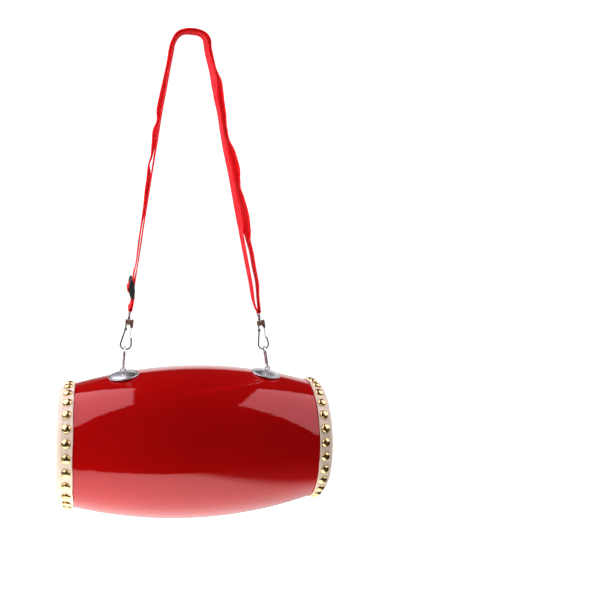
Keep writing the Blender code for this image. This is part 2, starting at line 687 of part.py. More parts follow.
def eased(spots, step):
    """Points on a smooth curve through the given spots, about one step apart."""
    route = []
    for i in range(len(spots) - 1):
        ends = [spots[max(i - 1, 0)], spots[i], spots[i + 1], spots[min(i + 2, len(spots) - 1)]]
        places = [spot for spot, _ in ends]
        chord = (places[2] - places[1]).length
        count = max(1, round(chord / step))
        leave = tangent(places[0], places[1], places[2]) * chord
        arrive = tangent(places[1], places[2], places[3]) * chord
        for k in range(count):
            t = k / count
            place = (
                places[1] * (2 * t**3 - 3 * t**2 + 1)
                + leave * (t**3 - 2 * t**2 + t)
                + places[2] * (3 * t**2 - 2 * t**3)
                + arrive * (t**3 - t**2)
            )
            ease = t * t * (3 - 2 * t)
            route.append((place, ends[1][1] + (ends[2][1] - ends[1][1]) * ease))
    return route + [spots[-1]]


def tangent(before, here, after):
    """Direction of the curve at a spot, leaning on the nearer of its neighbours."""
    back = here - before
    ahead = after - here
    if back.length == 0 or ahead.length == 0:
        return (after - before).normalized()
    return (back / back.length**2 + ahead / ahead.length**2).normalized()


def build_ribbon(shop, name, route):
    """Webbing along a route: a narrow sheet with the webbing's thickness."""
    shape = bmesh.new()
    line = [shape.verts.new(place) for place, _ in route]
    edges = [shape.edges.new(pair) for pair in zip(line, line[1:])]
    grown = bmesh.ops.extrude_edge_only(shape, edges=edges)
    far = [item for item in grown["geom"] if isinstance(item, bmesh.types.BMVert)]
    shape.verts.index_update()
    far.sort(key=lambda vert: vert.index)
    for i, (place, turn) in enumerate(route):
        ahead = route[min(i + 1, len(route) - 1)][0] - route[max(i - 1, 0)][0]
        inward = Vector((ahead.z, 0.0, -ahead.x)).normalized()
        if inward.dot(LOOP_MIDDLE - place) < 0:
            inward.negate()
        lean = math.radians(turn)
        half = (Vector((0.0, 1.0, 0.0)) * math.cos(lean) + inward * math.sin(lean)) * WEBBING_WIDTH / 2
        line[i].co = place - half
        far[i].co = place + half
    mesh = bpy.data.meshes.new(name)
    shape.to_mesh(mesh)
    shape.free()
    ribbon = shop.add(name, mesh, shop.webbing, Matrix.Identity(4))
    thick = ribbon.modifiers.new("thickness", "SOLIDIFY")
    thick.thickness = WEBBING_THICKNESS
    thick.offset = 0.0
    thick.use_even_offset = True
    return ribbon


def strap_route(left, right):
    """The doubled strap: up inside on the left, over, round the right eye and back outside it."""
    rise = STRAP_CUT + GAP / 2
    inner = [cut_spot(LEFT_INNER, left, rise)]
    inner += [spot for spot in left.wander(LEFT_INNER) if above(left, spot, STRAP_CUT)]
    inner += [(LEFT_TOP, LEFT_TOP_TURN)] + top_spots(TOP_INNER) + [(RIGHT_TOP, RIGHT_TOP_TURN)]
    inner += right.wander(RIGHT_INNER)[::-1]
    fold = right.bend((0.0, 0.0), FOLD_RADIUS, -math.pi, 0.0, 6)
    outer = right.wander(RIGHT_OUTER) + top_spots(TOP_OUTER)
    outer += [spot for spot in left.wander(LEFT_OUTER)[::-1] if above(left, spot, STRAP_CUT)]
    outer += [cut_spot(LEFT_OUTER, left, rise)]
    return eased(inner + fold[:1], STRAP_STEP) + fold[1:-1] + eased(fold[-1:] + outer, STRAP_STEP)


def above(leg, spot, rise):
    return (spot[0] - leg.eye).dot(leg.up) > rise + STRAP_STEP


def below(leg, spot, rise):
    return (spot[0] - leg.eye).dot(leg.up) < rise - STRAP_STEP


def cut_spot(table, leg, rise):
    """Where a layer ends at the cut between the strap and its sliding stretch."""
    share = STRAP_CUT / leg.length
    for (low, side_low, turn_low), (high, side_high, turn_high) in zip(table, table[1:]):
        if low <= share <= high:
            part = (share - low) / (high - low)
            return leg.spot(side_low + (side_high - side_low) * part, rise, turn_low + (turn_high - turn_low) * part)
    return leg.spot(table[-1][1], rise, table[-1][2])


class Slider:
    """Places of the slider's three bars, measured on the left leg."""

    def __init__(self, leg):
        self.leg = leg
        self.wrap = SLIDER_BAR_RADIUS + GAP + WEBBING_THICKNESS / 2
        self.middle = (-self.wrap, SLIDER_RISE)
        offset = (SLIDER_BAR_PITCH * math.sin(SLIDER_TILT), SLIDER_BAR_PITCH * math.cos(SLIDER_TILT))
        self.upper = (self.middle[0] + offset[0], self.middle[1] + offset[1])
        self.lower = (self.middle[0] - offset[0], self.middle[1] - offset[1])
        origin = leg.eye + leg.right * self.middle[0] + leg.up * self.middle[1]
        lean = math.atan2(leg.up.x, leg.up.z)
        self.frame = leaning_frame(origin, lean + SLIDER_TILT)


def strap_end_route(leg, slider):
    """The strap's sewn end: down the inside of the left leg and round the slider's middle bar."""
    start = cut_spot(LEFT_INNER, leg, STRAP_CUT - GAP / 2)
    down = [start] + [spot for spot in leg.wander(LEFT_INNER)[::-1] if below(leg, spot, STRAP_CUT)]
    loop = leg.bend(slider.middle, slider.wrap, 0.0, math.radians(-280), 10)
    return eased(down + loop[:1], STRAP_STEP) + loop[1:]


def strap_run_route(leg, slider):
    """The stretch that the slider holds: past its upper bar, over the middle, round the lower, to the left eye."""
    start = cut_spot(LEFT_OUTER, leg, STRAP_CUT - GAP / 2)
    down = [start] + [spot for spot in leg.wander(LEFT_OUTER)[::-1] if below(leg, spot, STRAP_CUT)]
    bulge = slider.wrap + LAYER_PITCH + SLIDER_SLACK
    cross = math.asin((slider.wrap + bulge) / SLIDER_BAR_PITCH)
    enter, leave = SLIDER_TILT + cross, cross - SLIDER_TILT
    past = leg.bend(slider.upper, slider.wrap, 0.0, -enter, 2)
    down.append(leg.spot(slider.upper[0] + slider.wrap - LAYER_GAP, slider.upper[1] + STRAP_STEP, 1))
    over = leg.bend(slider.middle, bulge, math.pi - enter, math.pi + leave, 5)
    around = leg.bend(slider.lower, slider.wrap, leave, 0.0, 4)
    fold = leg.bend((0.0, 0.0), FOLD_RADIUS, 0.0, -math.pi, 6)
    tail = [leg.spot(FOLD_RADIUS - LAYER_PITCH, rise, 0) for rise in (SEWN_TAIL_START, SEWN_TAIL)]
    route = eased(down + past[:1], STRAP_STEP) + past[1:] + over + around[:-1]
    return route + eased(around[-1:] + fold[:1], STRAP_STEP) + fold[1:-1] + eased(fold[-1:] + tail, STRAP_STEP / 4)


def build_slider(shop, slider):
    cheek_side = WEBBING_WIDTH / 2 + WEBBING_SIDE_PLAY + SLIDER_CHEEK / 2
    outline = []
    for i in range(24):
        turn = 2 * math.pi * i / 24
        depth = SLIDER_RIGHT_DEPTH if math.cos(turn) > 0 else SLIDER_LEFT_DEPTH
        outline.append((depth * math.cos(turn), SLIDER_HALF_LENGTH * math.sin(turn)))
    upright = Matrix.Rotation(math.pi / 2, 4, "X")
    cheeks = []
    for place, y in (("slider", -cheek_side), ("slider_back_cheek", cheek_side)):
        frame = slider.frame @ Matrix.Translation((0.0, y, 0.0)) @ upright
        cheeks.append(shop.prism(place, outline, SLIDER_CHEEK, shop.black_plastic, frame))
    body, back = cheeks
    shop.combine(body, back, "UNION")
    for place, rise in (("upper", SLIDER_BAR_PITCH), ("middle", 0.0), ("lower", -SLIDER_BAR_PITCH)):
        frame = slider.frame @ Matrix.Translation((0.0, 0.0, rise)) @ upright
        bar = shop.rod(f"slider_{place}_bar", SLIDER_BAR_RADIUS, 2 * cheek_side, None, frame, sides=12)
        shop.combine(body, bar, "UNION")
    return body


def build_side(shop, hand, chain, shell):
    """Everything that hangs on one side of the drum; returns the pieces that move with the drum."""
    plate = build_plate(shop, hand, chain)
    eye_pin = build_eye_pin(shop, hand, chain, shell)
    link = build_link(shop, hand, chain)
    hook = build_hook(shop, hand, chain)
    knuckle = build_knuckle(shop, hand, chain)
    crimp = build_crimp(shop, hand, chain)
    gate = build_gate(shop, hand, chain)
    gate_pin = build_gate_pin(shop, hand, chain)
    swivel = build_swivel_eye(shop, hand, chain)
    shop.pivot(f"{hand}_link_pivot", chain.bowl, [link])
    shop.pivot(f"{hand}_stem_axis", chain.hook.translation, [hook, knuckle, crimp, gate_pin])
    shop.pivot(f"{hand}_gate_axis", chain.gate_pin(), [gate])
    shop.pivot(f"{hand}_strap_eye", chain.eye, [swivel])
    return [plate, eye_pin]


def main():
    shop = Workshop()
    shell = build_shell(shop)
    drum = [shell] + [build_head(shop, hand) for hand in SIDE_SIGN]
    chains = {hand: Chain(hand) for hand in SIDE_SIGN}
    for hand, chain in chains.items():
        drum += build_side(shop, hand, chain, shell)
    shop.pivot("drum_pivot", chains["left"].staple, drum)
    left = Leg(chains["left"].eye, LEFT_TOP)
    right = Leg(chains["right"].eye, RIGHT_TOP)
    places = Slider(left)
    build_ribbon(shop, "strap", strap_route(left, right))
    build_ribbon(shop, "strap_end", strap_end_route(left, places))
    build_ribbon(shop, "strap_run", strap_run_route(left, places))
    slider = build_slider(shop, places)
    shop.pivot("slider_axis", places.frame.translation, [slider])


if __name__ == "__main__":
    main()
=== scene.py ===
"""Two-headed barrel drum on an adjustable shoulder strap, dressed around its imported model.

Metres, +Z up. The drum's axis runs along X, and left and right are those of someone who faces it from -Y.
"""

import json
import math
import random

import bmesh
import bpy
from mathutils import Matrix, Vector, noise

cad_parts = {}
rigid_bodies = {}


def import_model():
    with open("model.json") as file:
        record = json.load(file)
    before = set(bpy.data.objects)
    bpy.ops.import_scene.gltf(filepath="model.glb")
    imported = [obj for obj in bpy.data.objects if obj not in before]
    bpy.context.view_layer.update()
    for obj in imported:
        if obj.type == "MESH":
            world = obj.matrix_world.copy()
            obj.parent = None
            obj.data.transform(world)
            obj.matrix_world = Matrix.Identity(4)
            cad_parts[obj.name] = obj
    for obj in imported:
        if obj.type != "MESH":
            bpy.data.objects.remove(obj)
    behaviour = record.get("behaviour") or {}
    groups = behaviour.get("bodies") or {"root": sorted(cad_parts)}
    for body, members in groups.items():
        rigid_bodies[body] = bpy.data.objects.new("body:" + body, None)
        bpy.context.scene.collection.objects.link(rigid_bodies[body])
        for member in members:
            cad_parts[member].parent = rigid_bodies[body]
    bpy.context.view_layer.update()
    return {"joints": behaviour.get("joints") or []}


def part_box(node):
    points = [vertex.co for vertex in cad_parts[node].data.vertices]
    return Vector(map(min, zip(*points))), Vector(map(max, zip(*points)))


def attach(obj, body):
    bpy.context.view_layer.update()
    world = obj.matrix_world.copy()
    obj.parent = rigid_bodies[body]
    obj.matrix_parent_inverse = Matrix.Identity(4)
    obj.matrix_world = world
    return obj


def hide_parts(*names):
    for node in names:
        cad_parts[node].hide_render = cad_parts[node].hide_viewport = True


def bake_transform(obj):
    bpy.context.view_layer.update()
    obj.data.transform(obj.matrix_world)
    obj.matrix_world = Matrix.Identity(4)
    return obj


bl_info = {
    "name": "Tom tom drum",
    "version": (1, 0, 0),
    "blender": (4, 5, 0),
    "location": "3D View > Sidebar > Drum",
    "description": "Dresses the packed model of a barrel drum that hangs on a shoulder strap",
    "category": "Add Mesh",
}

for stray in list(bpy.data.objects):
    bpy.data.objects.remove(stray, do_unlink=True)
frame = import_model()
JOINTS = {joint["name"]: joint for joint in frame["joints"]}
SIDES = {"left": -1, "right": 1}
DEPTH = Vector((0.0, 1.0, 0.0))
FULL_TURN = 2 * math.pi

# Room between pieces that touch, and how much wider than its pin a hole is all round
GAP = 0.0003
HOLE_PLAY = 0.00015

# Corners this near are one, edges this sharp are shown as edges, and a wire has this many sides
WELD_REACH = 0.0000005
SHARP = math.radians(40)
WIRE_SIDES = 16

# Where the strap's two layers bend over its top: x, z and the webbing's turn, by which its far edge
# leans into the loop, in degrees
TOP_INNER = [
    (-0.0160, -0.0096, 9), (-0.0119, -0.0025, 7), (-0.0078, 0.0004, 6), (0.0016, 0.0012, 5),
    (0.0091, 0.0003, 6), (0.0127, -0.0024, 7), (0.0145, -0.0078, 8),
]
TOP_OUTER = [
    (0.0189, -0.0124, 0), (0.0164, -0.0018, 2), (0.0134, 0.0010, 4), (0.0067, 0.0034, 5),
    (-0.0007, 0.0039, 5), (-0.0071, 0.0028, 6), (-0.0134, -0.0006, 8), (-0.0176, -0.0079, 9),
]
LEFT_TOP = Vector((-0.0174, 0.0, -0.0174))
LEFT_TOP_TURN = 9
RIGHT_TOP = Vector((0.0155, 0.0, -0.0134))
RIGHT_TOP_TURN = 8

# How each layer wanders from the straight line between an eye and the strap's top:
# share of the way up, distance to the right of the line, turn of the webbing in degrees
LEFT_INNER = [
    (0.18, 0.0003, 4), (0.28, 0.0, 5), (0.36, -0.0003, 5), (0.44, -0.0005, 6), (0.56, -0.0007, 6),
    (0.64, -0.0008, 7), (0.69, -0.0011, 9), (0.80, -0.0011, 8), (0.86, -0.0008, 9), (0.93, -0.0005, 9),
]
LEFT_OUTER = [
    (0.17, -0.0016, 4), (0.28, -0.0023, 5), (0.34, -0.0024, 6), (0.40, -0.0022, 10), (0.48, -0.0031, 12),
    (0.54, -0.0036, 12), (0.57, -0.0048, 6), (0.61, -0.0031, 8), (0.65, -0.0036, 13), (0.70, -0.0045, 14),
    (0.74, -0.0031, 9), (0.78, -0.0041, 14), (0.84, -0.0037, 13), (0.89, -0.0032, 11), (0.95, -0.0025, 10),
]
RIGHT_INNER = [
    (0.03, -0.0026, 0), (0.10, -0.0020, 3), (0.20, -0.0018, 4), (0.28, -0.0017, 4), (0.32, -0.0015, 5),
    (0.365, -0.0005, 13), (0.41, -0.0004, 13), (0.46, -0.0006, 9), (0.54, -0.0005, 8), (0.64, -0.0008, 8),
    (0.70, -0.0009, 4), (0.77, -0.0002, 3), (0.84, -0.0002, 5), (0.88, 0.0009, 12), (0.93, 0.0011, 11),
]
RIGHT_OUTER = [
    (0.065, 0.0033, -1), (0.10, 0.0046, 2), (0.17, 0.0047, 4), (0.24, 0.0050, 5), (0.285, 0.0042, 7),
    (0.32, 0.0046, 19), (0.37, 0.0061, 17), (0.41, 0.0061, 15), (0.455, 0.0052, 13), (0.49, 0.0045, 7),
    (0.52, 0.0048, 13), (0.56, 0.0056, 20), (0.62, 0.0051, 15), (0.68, 0.0031, 2), (0.72, 0.0029, 5),
    (0.77, 0.0038, 10), (0.84, 0.0044, 15), (0.88, 0.0060, 8), (0.93, 0.0048, -4),
]

# A point inside the strap's loop, which tells its inner side from its outer one
LOOP_MIDDLE = Vector((0.012, 0.0, -0.15))


def length(name, default, description):
    """A size in metres that a user may change."""
    return bpy.props.FloatProperty(
        name=name, description=description, default=default, min=0.0, precision=5,
        unit="LENGTH", subtype="DISTANCE",
    )


def angle(name, degrees, description):
    """An angle that a user may change."""
    return bpy.props.FloatProperty(
        name=name, description=description, default=math.radians(degrees), unit="ROTATION", subtype="ANGLE"
    )


def colour(name, default, description):
    """A colour that a user may change."""
    return bpy.props.FloatVectorProperty(
        name=name, description=description, default=default, min=0.0, max=1.0, size=3, subtype="COLOR"
    )


class DrumSizes(bpy.types.PropertyGroup):
    """Sizes of the shell, its skins and their tacks."""

    drum_length: length("Length", 0.280, "Over both skins")
    belly_radius: length("Belly radius", 0.081, "Of the shell at its middle")
    end_radius: length("End radius", 0.0595, "Of the shell at its ends, before they are rounded")
    wall: length("Wall", 0.009, "Thickness of the shell")
    edge_round: length("Edge round", 0.005, "Radius of the shell's rounded rims")
    skin_thickness: length("Skin thickness", 0.0012, "Of both skins")
    skin_skirt: length("Skin skirt", 0.0138, "How far a skin is drawn down over the shell")
    skirt_waver: length("Skirt waver", 0.00045, "How far the cut edge of a skin strays")
    skin_pucker: length("Skin pucker", 0.00012, "Height of a skin's ripple along its tacks")
    tack_count: bpy.props.IntProperty(name="Tacks", description="Round each head", default=27, min=3)
    tack_radius: length("Tack radius", 0.005, "Of a tack's head")
    tack_height: length("Tack height", 0.0032, "Of a tack's dome over the skin")
    tack_inset: length("Tack inset", 0.0078, "From the shell's end to the middle of the tacks")
    left_tack_start: angle("Left tack start", 23.4, "First tack of the left ring, up from the front")
    right_tack_start: angle("Right tack start", 17.0, "First tack of the right ring, up from the front")


class FittingSizes(bpy.types.PropertyGroup):
    """Sizes of the steel fittings between the shell and the strap."""

    plate_reach: length("Plate reach", 0.0753, "From the drum's middle to each plate")
    plate_radius: length("Plate radius", 0.01575, "Of the domed plates")
    plate_flange: length("Plate flange", 0.0026, "Width of a plate's flat rim")
    plate_thickness: length("Plate thickness", 0.001, "Of the plates' sheet steel")
    plate_dome: length("Plate dome", 0.0035, "Height of a plate")
    eye_wire: length("Eye wire", 0.00135, "Thickness of the eye pins")
    eye_ring: length("Eye ring", 0.0065, "Outside width of an eye pin's ring")
    link_length: length("Link length", 0.026, "Outside length of the oval links")
    link_width: length("Link width", 0.012, "Outside width of the oval links")
    link_wire: length("Link wire", 0.002, "Thickness of the oval links")
    hook_wire: length("Hook wire", 0.0015, "Thickness of the hooks")
    hook_bowl: length("Hook bowl", 0.0054, "Radius of a hook's bowl")
    knuckle_radius: length("Knuckle radius", 0.003, "Of the grooved tubes over the hooks")
    gate_width: length("Gate width", 0.003, "Of the sprung strips that close the hooks")
    swivel_wire: length("Swivel wire", 0.0015, "Thickness of the eyes that the strap goes round")


class StrapSizes(bpy.types.PropertyGroup):
    """Sizes of the webbing and of its slider."""

    width: length("Width", 0.018, "Of the webbing")
    thickness: length("Thickness", 0.0011, "Of the webbing")
    layer_gap: length("Layer gap", 0.0004, "Between two layers that lie on each other")
    cup: length("Cup", 0.00008, "How far the webbing curls across its width")
    cut: length("Cut", 0.155, "How far over the left eye the sliding stretch ends")
    slider_rise: length("Slider rise", 0.0215, "From the left eye to the slider's middle bar")
    slider_tilt: angle("Slider tilt", -12.0, "Lean of the slider against the strap")
    slider_half: length("Slider half length", 0.0104, "From the slider's middle to its ends")
    slider_bar: length("Slider bar", 0.001, "Radius of the slider's bars")
    slider_pitch: length("Slider pitch", 0.0085, "Between the slider's bars")
    slider_slack: length("Slider slack", 0.0009, "By which the webbing bulges over the slider's middle bar")
    tail: length("Tail", 0.009, "How far the sewn end reaches over the left eye")
    tail_start: length("Tail start", 0.0045, "Over the left eye, where the sewn end meets the webbing")


class DrumColours(bpy.types.PropertyGroup):
    """Base colours of the drum's finishes."""

    lacquer: colour("Lacquer", (0.44, 0.002, 0.002), "Red lacquer of the shell")
    hide: colour("Skin", (0.88, 0.73, 0.56), "Both skins")
    brass: colour("Brass", (0.80, 0.57, 0.27), "Tacks")
    steel: colour("Steel", (0.74, 0.74, 0.745), "Plates, eye pins and links")
    gate_steel: colour("Gate steel", (0.50, 0.50, 0.49), "Gates and sleeves")
    dark_steel: colour("Dark steel", (0.14, 0.135, 0.13), "Hooks, rivets and strap eyes")
    copper_steel: colour("Browned steel", (0.28, 0.17, 0.13), "Knuckles")
    webbing: colour("Webbing", (0.72, 0.009, 0.015), "Strap")
    plastic: colour("Plastic", (0.012, 0.011, 0.011), "Slider")


def drum_sizes():
    return bpy.context.scene.drum_sizes


def fitting_sizes():
    return bpy.context.scene.drum_fittings


def strap_sizes():
    return bpy.context.scene.drum_strap


def colours():
    return bpy.context.scene.drum_colours


class Nodes:
    """A node tree, and the few kinds of nodes that this scene adds to one."""

    def __init__(self, tree):
        self.nodes = tree.nodes
        self.links = tree.links

    def add(self, kind, settings=None, inputs=None):
        node = self.nodes.new(kind)
        for name, value in (settings or {}).items():
            setattr(node, name, value)
        for name, value in (inputs or {}).items():
            self.feed(node.inputs[name], value)
        return node

    def feed(self, socket, value):
        """Sets a socket, or links it where the value is another node's output."""
        if isinstance(value, bpy.types.NodeSocket):
            self.links.new(value, socket)
        else:
            socket.default_value = value

    def math(self, operation, first, second=0.0):
        node = self.add("ShaderNodeMath", {"operation": operation})
        self.feed(node.inputs[0], first)
        self.feed(node.inputs[1], second)
        return node.outputs[0]

    def spread(self, value, to, of=(0.3, 0.7)):
        """A value in one range, carried over smoothly to another."""
        inputs = {"Value": value, "From Min": of[0], "From Max": of[1], "To Min": to[0], "To Max": to[1]}
        made = self.add("ShaderNodeMapRange", {"interpolation_type": "SMOOTHSTEP"}, inputs)
        return made.outputs["Result"]

    def parts(self, vector):
        """The X, Y and Z of a vector."""
        return self.add("ShaderNodeSeparateXYZ", inputs={"Vector": vector}).outputs


class Finish(Nodes):
    """A procedural material: one Principled shader, and textures in the piece's own coordinates."""

    def __init__(self, name, **sockets):
        self.material = bpy.data.materials.new(name)
        self.material.use_nodes = True
        super().__init__(self.material.node_tree)
        self.shader = self.nodes["Principled BSDF"]
        for socket, value in sockets.items():
            self.shader.inputs[socket.replace("_", " ").title().replace("Ior", "IOR")].default_value = value
        self.place = self.add("ShaderNodeTexCoord").outputs["Object"]

    def noise(self, scale, detail=4.0, roughness=0.55):
        """Cloudy noise; its scale is one number, or one for each axis."""
        place = self.place
        if isinstance(scale, tuple):
            place = self.add("ShaderNodeMapping", inputs={"Vector": place, "Scale": scale}).outputs[0]
            scale = 1.0
        inputs = {"Vector": place, "Scale": scale, "Detail": detail, "Roughness": roughness}
        return self.add("ShaderNodeTexNoise", inputs=inputs).outputs["Fac"]

    def cells(self, scale):
        """Distance to the nearest of many scattered points."""
        inputs = {"Vector": self.place, "Scale": scale}
        return self.add("ShaderNodeTexVoronoi", inputs=inputs).outputs["Distance"]

    def tint(self, share, low, high):
        """A colour between two others."""
        node = self.add("ShaderNodeMix", {"data_type": "RGBA"})
        self.feed(node.inputs["Factor"], share)
        self.feed(node.inputs[6], value_of(low))
        self.feed(node.inputs[7], value_of(high))
        return node.outputs[2]

    def raise_by(self, height, distance, strength, onto=None):
        """Relief of the given height, over another relief where there is one."""
        inputs = {"Height": height, "Distance": distance, "Strength": strength}
        if onto is not None:
            inputs["Normal"] = onto
        return self.add("ShaderNodeBump", inputs=inputs).outputs["Normal"]

    def set(self, socket, value):
        self.feed(self.shader.inputs[socket], value)


def value_of(tone):
    """A colour as a socket takes it, or another node's output as it is."""
    return tone if isinstance(tone, bpy.types.NodeSocket) else (*tone[:3], 1.0)


def shade(tone, factor):
    """A darker or lighter tone of a colour."""
    return tuple(min(1.0, part * factor) for part in tone)


# Colours that come through where the brass is dull and where the webbing is worn
TARNISH = (0.54, 0.35, 0.13)
WORN_WEBBING = (0.9, 0.05, 0.06)

# Webbing: width of a rib, length of a pick, how far a pick slants, and its height against a rib's
RIB_PITCH = 0.0012
PICK_PITCH = 0.0011
PICK_SLANT = 0.8
PICK_SHARE = 0.9

# Steels: their colour and its brightness, the range of their roughness, and their grain along X, Y and Z
STEELS = {
    "plate steel": ("steel", 1.0, (0.32, 0.42), (300.0, 300.0, 300.0)),
    "eye pin steel": ("steel", 1.0, (0.24, 0.36), (400.0, 400.0, 400.0)),
    "link steel": ("steel", 1.0, (0.24, 0.36), (500.0, 500.0, 120.0)),
    "hook steel": ("dark_steel", 1.0, (0.3, 0.45), (600.0, 600.0, 150.0)),
    "sleeve steel": ("gate_steel", 1.0, (0.25, 0.4), (700.0, 700.0, 700.0)),
    "knuckle steel": ("copper_steel", 1.0, (0.34, 0.5), (500.0, 200.0, 200.0)),
    "gate steel": ("gate_steel", 1.0, (0.3, 0.45), (900.0, 900.0, 200.0)),
    "rivet steel": ("dark_steel", 1.0, (0.3, 0.45), (800.0, 800.0, 800.0)),
    "eye steel": ("dark_steel", 1.25, (0.28, 0.42), (600.0, 600.0, 300.0)),
}


def lacquer_finish(name):
    """Glossy lacquer brushed along the barrel: fine streaks, an orange peel and a few dust nibs."""
    made = Finish(
        name, metallic=0.085, specular_ior_level=0.0, coat_weight=1.0, coat_roughness=0.02, coat_ior=1.38
    )
    base = colours().lacquer
    cloud = made.noise(scale=11.0, detail=3.0)
    streak = made.noise(scale=(9.0, 150.0, 150.0), roughness=0.6)
    tone = made.tint(made.spread(cloud, to=(0.0, 1.0)), shade(base, 0.95), shade(base, 1.05))
    tone = made.tint(made.spread(streak, to=(0.0, 0.6), of=(0.5, 0.75)), tone, shade(base, 0.8))
    nib = made.spread(made.cells(scale=58.0), to=(1.0, 0.0), of=(0.02, 0.05))
    made.set("Base Color", made.tint(nib, tone, shade(base, 1.5)))
    made.set("Roughness", made.spread(streak, to=(0.05, 0.11)))
    broad = made.noise(scale=(8.0, 95.0, 95.0), detail=2.0, roughness=0.5)
    narrow = made.noise(scale=(150.0, 420.0, 420.0), detail=3.0, roughness=0.6)
    wave = made.raise_by(broad, distance=0.00012, strength=0.7)
    ripple = made.raise_by(narrow, distance=0.00004, strength=0.9, onto=wave)
    peel = made.noise(scale=620.0, detail=2.0)
    peel = made.raise_by(peel, distance=0.00001, strength=0.35, onto=ripple)
    made.set("Coat Normal", made.raise_by(nib, distance=0.00015, strength=0.7, onto=peel))
    made.set("Normal", ripple)
    return made.material


def hide_finish(name):
    """Drum skin: mottled cream, with veins and pores."""
    made = Finish(
        name, subsurface_weight=0.1, subsurface_radius=(0.0010, 0.0008, 0.0006), subsurface_scale=0.7
    )
    base = colours().hide
    mottle = made.noise(scale=34.0, detail=5.0, roughness=0.6)
    vein = made.noise(scale=(60.0, 160.0, 160.0), detail=6.0, roughness=0.65)
    tone = made.tint(made.spread(mottle, to=(0.0, 1.0)), shade(base, 0.93), shade(base, 1.05))
    tone = made.tint(made.spread(vein, to=(0.0, 0.5), of=(0.5, 0.72)), tone, shade(base, 0.84))
    pore = made.spread(made.cells(scale=420.0), to=(0.45, 0.0), of=(0.05, 0.16))
    made.set("Base Color", made.tint(pore, tone, shade(base, 0.7)))
    made.set("Roughness", made.spread(mottle, to=(0.46, 0.64)))
    relief = made.raise_by(vein, distance=0.00012, strength=0.5)
    made.set("Normal", made.raise_by(pore, distance=0.00006, strength=0.4, onto=relief))
    return made.material


def brass_finish(name):
    """Polished brass with small dents and some tarnish."""
    made = Finish(name, metallic=1.0)
    tarnish = made.noise(scale=190.0, roughness=0.6)
    dull = made.spread(tarnish, to=(0.0, 1.0), of=(0.45, 0.8))
    made.set("Base Color", made.tint(dull, colours().brass, TARNISH))
    made.set("Roughness", made.spread(tarnish, to=(0.2, 0.3)))
    dent = made.noise(scale=330.0, detail=2.0, roughness=0.5)
    made.set("Normal", made.raise_by(dent, distance=0.00015, strength=0.3))
    return made.material


def steel_finish(name):
    """Drawn or pressed steel: a fine grain, cloudy gloss and a few darker spots."""
    colour_name, bright, rough, grain = STEELS[name]
    base = shade(getattr(colours(), colour_name), bright)
    made = Finish(name, metallic=1.0)
    cloud = made.noise(scale=150.0, detail=3.0)
    fine = made.noise(scale=grain, detail=3.0, roughness=0.6)
    tone = made.tint(made.spread(cloud, to=(0.0, 1.0)), shade(base, 0.9), shade(base, 1.05))
    spot = made.spread(made.cells(scale=520.0), to=(0.25, 0.0), of=(0.03, 0.1))
    made.set("Base Color", made.tint(spot, tone, shade(base, 0.6)))
    made.set("Roughness", made.spread(fine, to=rough))
    made.set("Normal", made.raise_by(fine, distance=0.000004, strength=0.2))
    return made.material


def webbing_finish(name):
    """Woven webbing: lengthwise ribs crossed by slanting picks, with painted shade in the grooves between
    threads, and fuzz that catches the light.
    """
    made = Finish(
        name, sheen_weight=0.05, sheen_roughness=0.4, sheen_tint=(1.0, 0.3, 0.34, 1.0),
        specular_ior_level=0.12, subsurface_weight=1.0, subsurface_radius=(0.006, 0.0002, 0.0002),
        subsurface_scale=1.0,
    )
    base = colours().webbing
    weave = made.parts(made.add("ShaderNodeAttribute", {"attribute_name": "weave"}).outputs["Vector"])
    across, along = weave["X"], weave["Y"]
    rib = made.math("SINE", made.math("MULTIPLY", across, FULL_TURN / RIB_PITCH))
    slant = made.math("MULTIPLY", made.math("ABSOLUTE", across), PICK_SLANT)
    pick = made.math("MULTIPLY", made.math("ADD", along, slant), FULL_TURN / PICK_PITCH)
    pick = made.math("MULTIPLY", made.math("SINE", pick), PICK_SHARE)
    thread = made.math("MULTIPLY", made.math("ADD", rib, pick), 0.5)
    fuzz = made.noise(scale=2600.0, detail=3.0, roughness=0.7)
    wear = made.noise(scale=90.0, roughness=0.6)
    # Painted shade: the weave's grooves get a darker tone and its raised threads a lighter one, following
    # the threads' height
    painted_groove_shade = made.spread(thread, to=(0.0, 1.0), of=(-0.8, 0.6))
    tone = made.tint(painted_groove_shade, shade(base, 0.76), shade(base, 1.06))
    worn = made.spread(wear, to=(0.0, 0.3), of=(0.45, 0.75))
    made.set("Base Color", made.tint(worn, tone, WORN_WEBBING))
    made.set("Roughness", made.spread(fuzz, to=(0.66, 0.9)))
    relief = made.raise_by(thread, distance=0.00008, strength=0.5)
    made.set("Normal", made.raise_by(fuzz, distance=0.00003, strength=0.3, onto=relief))
    return made.material


def plastic_finish(name):
    """Moulded black plastic with a fine grain and scuffs."""
    made = Finish(name, specular_ior_level=0.5)
    base = colours().plastic
    grain = made.noise(scale=1500.0, detail=3.0, roughness=0.6)
    scuff = made.noise(scale=260.0, detail=5.0, roughness=0.7)
    pale = made.spread(scuff, to=(0.0, 1.0), of=(0.55, 0.8))
    made.set("Base Color", made.tint(pale, base, shade(base, 3.2)))
    made.set("Roughness", made.spread(scuff, to=(0.28, 0.46)))
    made.set("Normal", made.raise_by(grain, distance=0.00003, strength=0.4))
    return made.material


def finish_named(name, maker=steel_finish):
    """The finish of that name, made where it isn't there yet."""
    return bpy.data.materials.get(name) or maker(name)


def standing(origin, up):
    """A frame whose Z axis points along up and whose Y axis runs along the drum's depth."""
    rise = up.normalized()
    across = DEPTH.cross(rise)
    turn = Matrix((across, DEPTH, rise)).transposed().to_4x4()
    return Matrix.Translation(origin) @ turn


def on_edge(origin_frame):
    """The same frame turned so that its XY plane is the upright plane along the drum."""
    return origin_frame @ Matrix.Rotation(math.pi / 2, 4, "X")


